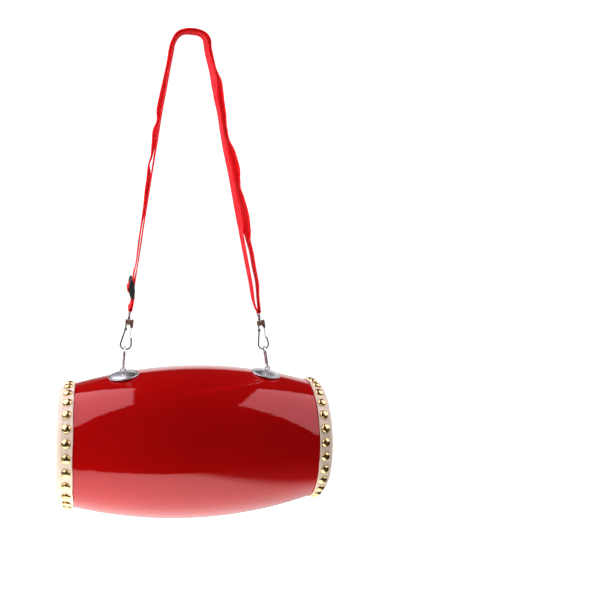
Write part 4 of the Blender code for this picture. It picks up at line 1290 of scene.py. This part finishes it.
def strap_eye(hand):
    """Middle of the bar that the strap is folded round."""
    _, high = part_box(f"{hand}_swivel_eye")
    stem = JOINTS[f"{hand}_hook_swivel"]
    foot = Vector(stem["pos_m"])
    axis = Vector(stem["axis"]).normalized()
    wire = fitting_sizes().swivel_wire / 2
    rise = (high.z - foot.z - wire) / axis.z
    return foot + axis * rise


def left_leg():
    return Leg(strap_eye("left"), LEFT_TOP)


def right_leg():
    return Leg(strap_eye("right"), RIGHT_TOP)


def fold_radius():
    """From the middle of a strap eye's bar to the middle of the webbing round it."""
    return fitting_sizes().swivel_wire / 2 + GAP + strap_sizes().thickness / 2


def layer_pitch():
    """Between the middles of two layers of webbing that lie on each other."""
    return strap_sizes().thickness + strap_sizes().layer_gap


def tangent(before, here, after):
    """Direction of the curve at a spot, leaning on the nearer of its neighbours."""
    back = here - before
    ahead = after - here
    if back.length == 0 or ahead.length == 0:
        return (after - before).normalized()
    return (back / back.length**2 + ahead / ahead.length**2).normalized()


def eased(spots, step):
    """Points on a smooth curve through the given spots, about one step apart."""
    route = []
    for i in range(len(spots) - 1):
        ends = [spots[max(i - 1, 0)], spots[i], spots[i + 1], spots[min(i + 2, len(spots) - 1)]]
        places = [spot for spot, _ in ends]
        chord = (places[2] - places[1]).length
        count = max(1, round(chord / step))
        leave = tangent(places[0], places[1], places[2]) * chord
        arrive = tangent(places[1], places[2], places[3]) * chord
        for k in range(count):
            t = k / count
            place = (
                places[1] * (2 * t**3 - 3 * t**2 + 1)
                + leave * (t**3 - 2 * t**2 + t)
                + places[2] * (3 * t**2 - 2 * t**3)
                + arrive * (t**3 - t**2)
            )
            ease = t * t * (3 - 2 * t)
            route.append((place, ends[1][1] + (ends[2][1] - ends[1][1]) * ease))
    return route + [spots[-1]]


# The strap's route: room for a point beside a cut or a bar, and how far its end goes round the middle bar
ROUTE_SPOT = 0.007
SEWN_WRAP = math.radians(280)

# Webbing: how finely it is drawn, how quickly its curl changes along it and in which pattern, and how
# sharp an edge is shown as one
STRAP_STEP = 0.0022
FOLD_STEPS = 16
SECTION_COLUMNS = 8
CURL_RATE = 24.0
CURL_PATTERN = (3.0, 5.0)
WEBBING_SHARP = math.radians(70)

# From the slider's outer bars and the left eye to where the webbing starts to stretch, and from those bars
# to where one of its pieces ends
HELD_OVER_SLIDER = 0.004
HELD_UNDER_SLIDER = 0.003
HELD_OVER_EYE = 0.002
PIECE_OVER_SLIDER = 0.003
PIECE_UNDER_SLIDER = 0.002

# Stitches: how many in a row and how far apart, their size, how far they stand out, the spot of the weave
# whose tone they have, and where the rows are, from the tail's start and its tip
STITCH_COUNT = 8
STITCH_PITCH = 0.0019
STITCH_RADIUS = 0.00032
STITCH_STRETCH = 2.6
STITCH_LIFT = 0.00012
STITCH_WEAVE = (0.0003, 0.0003, 0.0)
STITCH_FROM_START = 0.0008
STITCH_FROM_TIP = 0.0012


def flat_section():
    """The outline of the webbing's cut: across and out, with rounded edges."""
    sizes = strap_sizes()
    half = sizes.thickness / 2
    reach = sizes.width / 2 - half
    top = [(-reach + 2 * reach * i / SECTION_COLUMNS, half) for i in range(SECTION_COLUMNS + 1)]
    right = arc((reach, 0.0), half, math.pi / 2, -math.pi / 2, steps=4)[1:-1]
    bottom = [(x, -z) for x, z in reversed(top)]
    left = arc((-reach, 0.0), half, -math.pi / 2, -1.5 * math.pi, steps=4)[1:-1]
    return top + right + bottom + left


class Webbing:
    """Woven webbing drawn along a route, with the weave's own coordinates on it."""

    def __init__(self, route):
        self.shape = bmesh.new()
        self.weave = self.shape.verts.layers.float_vector.new("weave")
        section = flat_section()
        half = strap_sizes().width / 2
        along = 0.0
        rim = None
        for i, (place, _) in enumerate(route):
            if i:
                along += (place - route[i - 1][0]).length
            frame_here = self.station(route, i)
            curl = strap_sizes().cup * noise.noise((along * CURL_RATE, *CURL_PATTERN))
            if rim is None:
                verts = [self.shape.verts.new() for _ in section]
                rim = [self.shape.edges.new(pair) for pair in zip(verts, verts[1:] + verts[:1])]
                self.first = rim
            else:
                verts, rim = self.pushed(verts, rim)
            for vert, (across, out) in zip(verts, section):
                bow = curl * (1 - (across / half) ** 2)
                vert.co = frame_here @ Vector((across, out + bow, 0.0))
                vert[self.weave] = (across, along, 0.0)
        self.last = rim
        for end in (self.first, self.last):
            bmesh.ops.edgeloop_fill(self.shape, edges=end)
        bmesh.ops.recalc_face_normals(self.shape, faces=self.shape.faces)

    def pushed(self, verts, rim):
        """One more ring, ahead of the last, with its corners in the same order."""
        grown = bmesh.ops.extrude_edge_only(self.shape, edges=rim)["geom"]
        fresh = corners_in(grown)
        ahead = []
        for vert in verts:
            beside = [edge.other_vert(vert) for edge in vert.link_edges]
            ahead.append(next(other for other in beside if other in fresh))
        edges = [edge for vert in ahead for edge in vert.link_edges if set(edge.verts) <= fresh]
        return ahead, list(dict.fromkeys(edges))

    @staticmethod
    def station(route, i):
        """Frame of the webbing at a spot: X across it, Y out of its flat side, Z along it."""
        place, turn = route[i]
        ahead = (route[min(i + 1, len(route) - 1)][0] - route[max(i - 1, 0)][0]).normalized()
        inward = Vector((ahead.z, 0.0, -ahead.x))
        if inward.dot(LOOP_MIDDLE - place) < 0:
            inward.negate()
        lean = math.radians(turn)
        across = DEPTH * math.cos(lean) + inward * math.sin(lean)
        out = ahead.cross(across).normalized()
        return Matrix.Translation(place) @ Matrix((across, out, ahead)).transposed().to_4x4()

    def stitch_row(self, place, across, out):
        """A row of short stitches on the webbing."""
        turn = Matrix((across, out, across.cross(out))).transposed().to_4x4()
        for i in range(STITCH_COUNT):
            middle = place + across * (i - (STITCH_COUNT - 1) / 2) * STITCH_PITCH + out * STITCH_LIFT
            made = bmesh.ops.create_icosphere(self.shape, subdivisions=2, radius=STITCH_RADIUS)
            spot = Matrix.Translation(middle) @ turn @ Matrix.Diagonal((STITCH_STRETCH, 1.0, 1.0, 1.0))
            bmesh.ops.transform(self.shape, matrix=spot, verts=made["verts"])
            for vert in made["verts"]:
                vert[self.weave] = STITCH_WEAVE


class SliderPlaces:
    """Where the slider's three bars are, measured on the left leg."""

    def __init__(self):
        sizes = strap_sizes()
        self.leg = left_leg()
        self.wrap = sizes.slider_bar + GAP + sizes.thickness / 2
        self.middle = (-self.wrap, sizes.slider_rise)
        across = sizes.slider_pitch * math.sin(sizes.slider_tilt)
        along = sizes.slider_pitch * math.cos(sizes.slider_tilt)
        self.upper = (self.middle[0] + across, self.middle[1] + along)
        self.lower = (self.middle[0] - across, self.middle[1] - along)

    def frame(self):
        leg = self.leg
        origin = leg.eye + leg.right * self.middle[0] + leg.up * self.middle[1]
        lean = math.atan2(leg.up.x, leg.up.z) + strap_sizes().slider_tilt
        return Matrix.Translation(origin) @ Matrix.Rotation(lean, 4, "Y")


class DRUM_OT_strap(bpy.types.Operator):
    """Lays the webbing: doubled over the top, sewn to the slider and folded round both eyes"""

    bl_idname = "drum.strap"
    bl_label = "Strap"

    def execute(self, context):
        self.left = left_leg()
        self.right = right_leg()
        self.slider = SliderPlaces()
        self.finish = finish_named("red webbing", webbing_finish)
        top = self.left.spot(0.0, strap_sizes().cut, 0)[0]
        slider_top = self.left.spot(0.0, self.slider.upper[1] + HELD_OVER_SLIDER, 0)[0]
        slider_low = self.left.spot(0.0, self.slider.lower[1] - HELD_UNDER_SLIDER, 0)[0]
        eye = self.left.spot(0.0, HELD_OVER_EYE, 0)[0]
        loop = self.laid("strap_loop", self.loop_route(), ["strap"], ["left_strap_eye", "right_strap_eye"])
        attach(loop, "strap")
        sewn = self.laid("strap_sewn_end", self.sewn_route(), ["strap_end"], ["slider_frame"])
        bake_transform(sewn)
        run = self.run_routes()
        upper = self.laid("strap_upper_run", run["upper"], ["strap_run"], ["slider_frame"])
        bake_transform(upper)
        weave = self.laid("strap_weave", run["weave"], ["strap_run"], ["slider_frame"])
        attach(weave, "slider")
        tab = self.laid("strap_tab", run["tab"], ["strap_run"], ["left_strap_eye"], stitched=True)
        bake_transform(tab)
        return {"FINISHED"}

    def laid(self, name, route, nodes, rests_on, stitched=False):
        webbing = Webbing(route)
        if stitched:
            self.sew_tail(webbing)
        made = as_piece(name, webbing.shape, self.finish, WEBBING_SHARP)
        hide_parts(*nodes)
        return made

    def loop_route(self):
        """Up inside on the left, over, round the right eye and back outside it."""
        left, right = self.left, self.right
        low = strap_sizes().cut + ROUTE_SPOT
        inner = [left.cut_spot(LEFT_INNER, 1)]
        inner += [spot for spot in left.wander(LEFT_INNER) if left.rise_of(spot) > low]
        inner += [(LEFT_TOP, LEFT_TOP_TURN)] + self.over(TOP_INNER) + [(RIGHT_TOP, RIGHT_TOP_TURN)]
        inner += right.wander(RIGHT_INNER)[::-1]
        fold = right.bend((0.0, 0.0), fold_radius(), -math.pi, 0.0, FOLD_STEPS)
        outer = right.wander(RIGHT_OUTER) + self.over(TOP_OUTER)
        outer += [spot for spot in left.wander(LEFT_OUTER)[::-1] if left.rise_of(spot) > low]
        outer += [left.cut_spot(LEFT_OUTER, 1)]
        return eased(inner + fold[:1], STRAP_STEP) + fold[1:-1] + eased(fold[-1:] + outer, STRAP_STEP)

    @staticmethod
    def over(table):
        return [(Vector((x, 0.0, z)), turn) for x, z, turn in table]

    def sewn_route(self):
        """Down the inside of the left leg and round the slider's middle bar."""
        leg, slider = self.left, self.slider
        high = strap_sizes().cut - ROUTE_SPOT
        down = [leg.cut_spot(LEFT_INNER, -1)]
        down += [spot for spot in leg.wander(LEFT_INNER)[::-1] if leg.rise_of(spot) < high]
        loop = leg.bend(slider.middle, slider.wrap, 0.0, -SEWN_WRAP, steps=24)
        return eased(down + loop[:1], STRAP_STEP) + loop[1:]

    def run_routes(self):
        """Past the slider's upper bar, over the middle one, round the lower one, and round the left eye."""
        leg, slider, sizes = self.left, self.slider, strap_sizes()
        high = sizes.cut - ROUTE_SPOT
        down = [leg.cut_spot(LEFT_OUTER, -1)]
        down += [spot for spot in leg.wander(LEFT_OUTER)[::-1] if leg.rise_of(spot) < high]
        bulge = slider.wrap + layer_pitch() + sizes.slider_slack
        cross = math.asin((slider.wrap + bulge) / sizes.slider_pitch)
        enter, leave = sizes.slider_tilt + cross, cross - sizes.slider_tilt
        past = leg.bend(slider.upper, slider.wrap, 0.0, -enter, steps=8)
        beside = slider.upper[0] + slider.wrap - sizes.layer_gap
        down.append(leg.spot(beside, slider.upper[1] + ROUTE_SPOT, 1))
        over = leg.bend(slider.middle, bulge, math.pi - enter, math.pi + leave, steps=16)
        around = leg.bend(slider.lower, slider.wrap, leave, 0.0, steps=10)
        fold = leg.bend((0.0, 0.0), fold_radius(), 0.0, -math.pi, FOLD_STEPS)
        tail = [leg.spot(fold_radius() - layer_pitch(), rise, 0) for rise in (sizes.tail_start, sizes.tail)]
        whole = eased(down + past[:1], STRAP_STEP) + past[1:] + over + around[:-1]
        whole += eased(around[-1:] + fold[:1], STRAP_STEP) + fold[1:-1]
        whole += eased(fold[-1:] + tail, STRAP_STEP / 4)
        rises = [leg.rise_of(spot) for spot in whole]
        first = next(i for i, rise in enumerate(rises) if rise < slider.upper[1] + PIECE_OVER_SLIDER)
        second = next(i for i, rise in enumerate(rises) if rise < slider.lower[1] - PIECE_UNDER_SLIDER)
        return {"upper": whole[: first + 1], "weave": whole[first : second + 1], "tab": whole[second:]}

    def sew_tail(self, webbing):
        """Two rows of stitches through the folded end over the left eye."""
        leg, sizes = self.left, strap_sizes()
        side = fold_radius() - layer_pitch() - sizes.thickness / 2
        for rise in (sizes.tail_start + STITCH_FROM_START, sizes.tail - STITCH_FROM_TIP):
            webbing.stitch_row(leg.spot(side, rise, 0)[0], DEPTH, -leg.right)


class DRUM_OT_slider(bpy.types.Operator):
    """Moulds the three-bar slider that sets the strap's length"""

    bl_idname = "drum.slider"
    bl_label = "Slider"

    right_depth: length("Right depth", 0.0029, "Of the cheeks, from the bars to the right")
    left_depth: length("Left depth", 0.0031, "Of the cheeks, from the bars to the left")
    cheek: length("Cheek", 0.0022, "Thickness of the cheeks")
    side_play: length("Side play", 0.0004, "Between the webbing and the cheeks")

    def execute(self, context):
        sizes = strap_sizes()
        place = SliderPlaces().frame()
        side = sizes.width / 2 + self.side_play + self.cheek / 2
        outline = []
        around = 40
        for i in range(around):
            turn = FULL_TURN * i / around
            depth = self.right_depth if math.cos(turn) > 0 else self.left_depth
            outline.append((depth * math.cos(turn), sizes.slider_half * math.sin(turn)))
        steps = []
        for way in (-1, 1):
            cheek = prism(outline, self.cheek)
            cheek = soften(cheek, offset=0.0006, segments=4, sharper_than=math.radians(50))
            spot = place @ on_edge(Matrix.Translation((0.0, way * side, 0.0)))
            steps.append(("UNION", moved(cheek, spot)))
        for rise in (sizes.slider_pitch, 0.0, -sizes.slider_pitch):
            spot = place @ on_edge(Matrix.Translation((0.0, 0.0, rise)))
            steps.append(("UNION", moved(rod(sizes.slider_bar, 2 * side, sides=24), spot)))
        shape = carved(steps[0][1], *steps[1:])
        finish = finish_named("black plastic", plastic_finish)
        fitted("slider_frame", shape, finish, "slider", "slider")
        return {"FINISHED"}


# Camera: its place, the axes that it looks along, and its lens and sensor in millimetres
CAMERA_PLACE = (-0.07658, -0.81522, -0.07195)
CAMERA_AXES = Matrix((
    (0.97241, 0.23316, -0.00774),
    (-0.22524, 0.94699, 0.22906),
    (0.06074, -0.221, 0.97338),
))
CAMERA_LENS = 48.175
CAMERA_SENSOR = 36.0

# Tall soft lights: brightness, the place on the drum that they are measured from, the way they face, their
# upward side, their distance, and their reach sideways and upwards in shares of that distance
SOFT_LIGHTS = {
    "left_light": {
        "level": 2.4,
        "subject": Vector((-0.08, -0.03, -0.365)),
        "facing": Vector((0.992, -0.1255, -0.041)),
        "up": Vector((0.063, 0.178, 0.982)),
        "distance": 0.45,
        "spread": (-1.095, 1.272),
        "rise": (0.2, 4.12),
    },
    "right_light": {
        "level": 2.1,
        "subject": Vector((0.10, -0.04, -0.365)),
        "facing": Vector((-0.977, 0.0523, -0.207)),
        "up": Vector((-0.194, 0.186, 0.963)),
        "distance": 0.847,
        "spread": (-0.495, 0.763),
        "rise": (0.0, 1.694),
    },
}

# The soft lights' colour, and the power of one of brightness 1 for each square metre of it
SOFT_LIGHT_COLOUR = (1.0, 0.94, 1.06)
SOFT_LIGHT_POWER = 4

# Narrow lights: power, place, the point that they are aimed at, width of the cone in degrees, and how much
# of it fades. The first reaches in between the strap's layers, the second lights the left rim.
NARROW_LIGHTS = {
    "strap_light": (20.0, Vector((-0.077, -0.815, 0.02)), Vector((0.015, 0.0, -0.155)), 23.0, 0.4),
    "rim_light": (4.5, Vector((-0.13, -0.80, -0.40)), Vector((-0.12, 0.0, -0.42)), 20.0, 1.0),
}
NARROW_LIGHT_RADIUS = 0.015

# Brightness of the surfaces round the drum, and the floor's share of it far from its brightest part
FLOOR_SHINE = 3.5
FLOOR_FAR_SHARE = 0.12
ROOM = 0.03
WALL = 1.3

# Floor: its size, the middle of it, the middle of its brightest part, and how its bright side's edge slants
FLOOR_SIZE = (8.0, 4.85, 1.0)
FLOOR_PLACE = (0.0, 1.575, -0.80)
FLOOR_BRIGHTEST = (-0.15, -0.45, -0.8)
FLOOR_EDGE_SLANT = 0.33


class DRUM_OT_stage(bpy.types.Operator):
    """Sets the camera, two tall soft lights, two narrow ones, a pale floor and a white surround"""

    bl_idname = "drum.stage"
    bl_label = "Stage"

    def execute(self, context):
        scene = context.scene
        scene.view_settings.view_transform = "Standard"
        self.set_camera(scene)
        self.set_surround(scene)
        for name, light in SOFT_LIGHTS.items():
            self.set_soft_light(name, **light)
        for name, light in NARROW_LIGHTS.items():
            self.set_narrow_light(name, *light)
        self.set_floor()
        return {"FINISHED"}

    @staticmethod
    def set_camera(scene):
        camera = bpy.data.cameras.new("camera")
        camera.lens = CAMERA_LENS
        camera.sensor_width = CAMERA_SENSOR
        camera.clip_start = 0.01
        holder = placed("camera", camera)
        look = CAMERA_AXES.to_4x4() @ Matrix.Rotation(math.pi / 2, 4, "X")
        holder.matrix_world = Matrix.Translation(CAMERA_PLACE) @ look
        scene.camera = holder

    @staticmethod
    def set_soft_light(name, level, subject, facing, up, distance, spread, rise):
        """A rectangular soft light that the camera doesn't see."""
        facing = facing.normalized()
        up = (up - facing * facing.dot(up)).normalized()
        front = up.cross(facing)
        if front.y > 0:
            front = -front
        middle = subject + distance * (-facing + front * sum(spread) / 2 + up * sum(rise) / 2)
        lamp = bpy.data.lights.new(name, "AREA")
        lamp.shape = "RECTANGLE"
        lamp.size = distance * (spread[1] - spread[0])
        lamp.size_y = distance * (rise[1] - rise[0])
        lamp.energy = level * SOFT_LIGHT_POWER * lamp.size * lamp.size_y
        lamp.color = SOFT_LIGHT_COLOUR
        holder = placed(name, lamp)
        side = up.cross(-facing) * -1
        holder.matrix_world = Matrix.Translation(middle) @ Matrix((side, up, -facing)).transposed().to_4x4()
        holder.visible_camera = False

    @staticmethod
    def set_narrow_light(name, power, place, aim, width, blend):
        """A narrow light from the front, left out of the gloss."""
        lamp = bpy.data.lights.new(name, "SPOT")
        lamp.energy = power
        lamp.shadow_soft_size = NARROW_LIGHT_RADIUS
        lamp.spot_size = math.radians(width)
        lamp.spot_blend = blend
        holder = placed(name, lamp)
        turn = (aim - place).to_track_quat("-Z", "Y").to_matrix().to_4x4()
        holder.matrix_world = Matrix.Translation(place) @ turn
        holder.visible_glossy = False

    @staticmethod
    def set_surround(scene):
        """White for the camera; metal shows a white wall behind the drum, in a dim room."""
        world = bpy.data.worlds.new("surround")
        scene.world = world
        world.use_nodes = True
        made = Nodes(world.node_tree)
        back = made.nodes["Background"]
        direction = made.add("ShaderNodeTexCoord").outputs["Generated"]
        parts = made.parts(direction)
        behind = made.spread(parts["Y"], to=(0.0, 1.0), of=(-0.05, 0.35))
        under = made.spread(parts["Z"], to=(1.0, 0.0), of=(0.22, 0.34))
        beside = made.spread(parts["X"], to=(0.15, 1.0), of=(-0.14, 0.02))
        wall = made.math("MULTIPLY", made.math("MULTIPLY", behind, under), beside)
        seen = made.add("ShaderNodeLightPath").outputs
        mirrored = made.math("MAXIMUM", seen["Is Glossy Ray"], seen["Is Transmission Ray"])
        shown = made.math("MAXIMUM", seen["Is Camera Ray"], made.math("MULTIPLY", mirrored, wall))
        lit = made.spread(wall, to=(ROOM, WALL), of=(0.0, 1.0))
        made.feed(back.inputs["Strength"], made.math("MAXIMUM", shown, lit))
        back.inputs["Color"].default_value = (1.0, 1.0, 1.0, 1.0)

    @staticmethod
    def set_floor():
        """A pale floor well under the drum, white to the camera but for the drum's shadow."""
        shape = bmesh.new()
        bmesh.ops.create_grid(shape, x_segments=1, y_segments=1, size=0.5)
        bmesh.ops.scale(shape, vec=FLOOR_SIZE, verts=shape.verts)
        bmesh.ops.translate(shape, vec=FLOOR_PLACE, verts=shape.verts)
        mesh = as_mesh("floor", shape)
        made = Finish("pale floor", base_color=(0.8, 0.8, 0.8, 1.0), roughness=0.9, specular_ior_level=0.0)
        parts = made.parts(made.place)
        ends = {0: made.place, 1: FLOOR_BRIGHTEST}
        away = made.add("ShaderNodeVectorMath", {"operation": "DISTANCE"}, ends).outputs["Value"]
        to_edge = made.math("SUBTRACT", parts["X"], made.math("MULTIPLY", parts["Y"], FLOOR_EDGE_SLANT))
        near = made.spread(away, to=(FLOOR_SHINE, FLOOR_FAR_SHARE * FLOOR_SHINE), of=(0.1, 1.05))
        bright = made.math("MULTIPLY", near, made.spread(to_edge, to=(1.0, 0.06), of=(0.30, 0.46)))
        seen = made.add("ShaderNodeLightPath").outputs
        level = made.spread(away, to=(0.75, 1.0), of=(0.4, 1.4))
        glow = made.add("ShaderNodeEmission", inputs={"Strength": level}).outputs[0]
        shine = made.add("ShaderNodeEmission", inputs={"Strength": bright}).outputs[0]
        faced = made.add("ShaderNodeAddShader", inputs={0: made.shader.outputs[0], 1: glow}).outputs[0]
        mix = made.add("ShaderNodeMixShader", inputs={0: seen["Is Camera Ray"], 1: shine, 2: faced})
        made.feed(made.nodes["Material Output"].inputs["Surface"], mix.outputs[0])
        mesh.materials.append(made.material)
        placed("floor", mesh)


MAKERS = (
    DRUM_OT_stage, DRUM_OT_shell, DRUM_OT_skins, DRUM_OT_tacks, DRUM_OT_plates, DRUM_OT_eye_pins,
    DRUM_OT_links, DRUM_OT_hooks, DRUM_OT_knuckles, DRUM_OT_gates, DRUM_OT_swivel_eyes,
    DRUM_OT_slider, DRUM_OT_strap,
)


class DRUM_PT_panel(bpy.types.Panel):
    """Lists the drum's sizes, colours and pieces."""

    bl_idname = "DRUM_PT_panel"
    bl_label = "Drum"
    bl_space_type = "VIEW_3D"
    bl_region_type = "UI"
    bl_category = "Drum"

    def draw(self, context):
        scene = context.scene
        for name, group in GROUPS.items():
            box = self.layout.box()
            for size in group.__annotations__:
                box.prop(getattr(scene, name), size)
        for maker in MAKERS:
            self.layout.operator(maker.bl_idname)


GROUPS = {
    "drum_sizes": DrumSizes,
    "drum_fittings": FittingSizes,
    "drum_strap": StrapSizes,
    "drum_colours": DrumColours,
}


def register():
    for group in GROUPS.values():
        bpy.utils.register_class(group)
    for name, group in GROUPS.items():
        setattr(bpy.types.Scene, name, bpy.props.PointerProperty(type=group))
    for maker in MAKERS:
        bpy.utils.register_class(maker)
    bpy.utils.register_class(DRUM_PT_panel)


def unregister():
    bpy.utils.unregister_class(DRUM_PT_panel)
    for maker in reversed(MAKERS):
        bpy.utils.unregister_class(maker)
    for name, group in reversed(GROUPS.items()):
        delattr(bpy.types.Scene, name)
        bpy.utils.unregister_class(group)


def main():
    register()
    bpy.ops.drum.stage()
    bpy.ops.drum.shell()
    bpy.ops.drum.skins()
    bpy.ops.drum.tacks()
    bpy.ops.drum.plates()
    bpy.ops.drum.eye_pins()
    bpy.ops.drum.links()
    bpy.ops.drum.hooks()
    bpy.ops.drum.knuckles()
    bpy.ops.drum.gates()
    bpy.ops.drum.swivel_eyes()
    bpy.ops.drum.slider()
    bpy.ops.drum.strap()


if __name__ == "__main__":
    main()
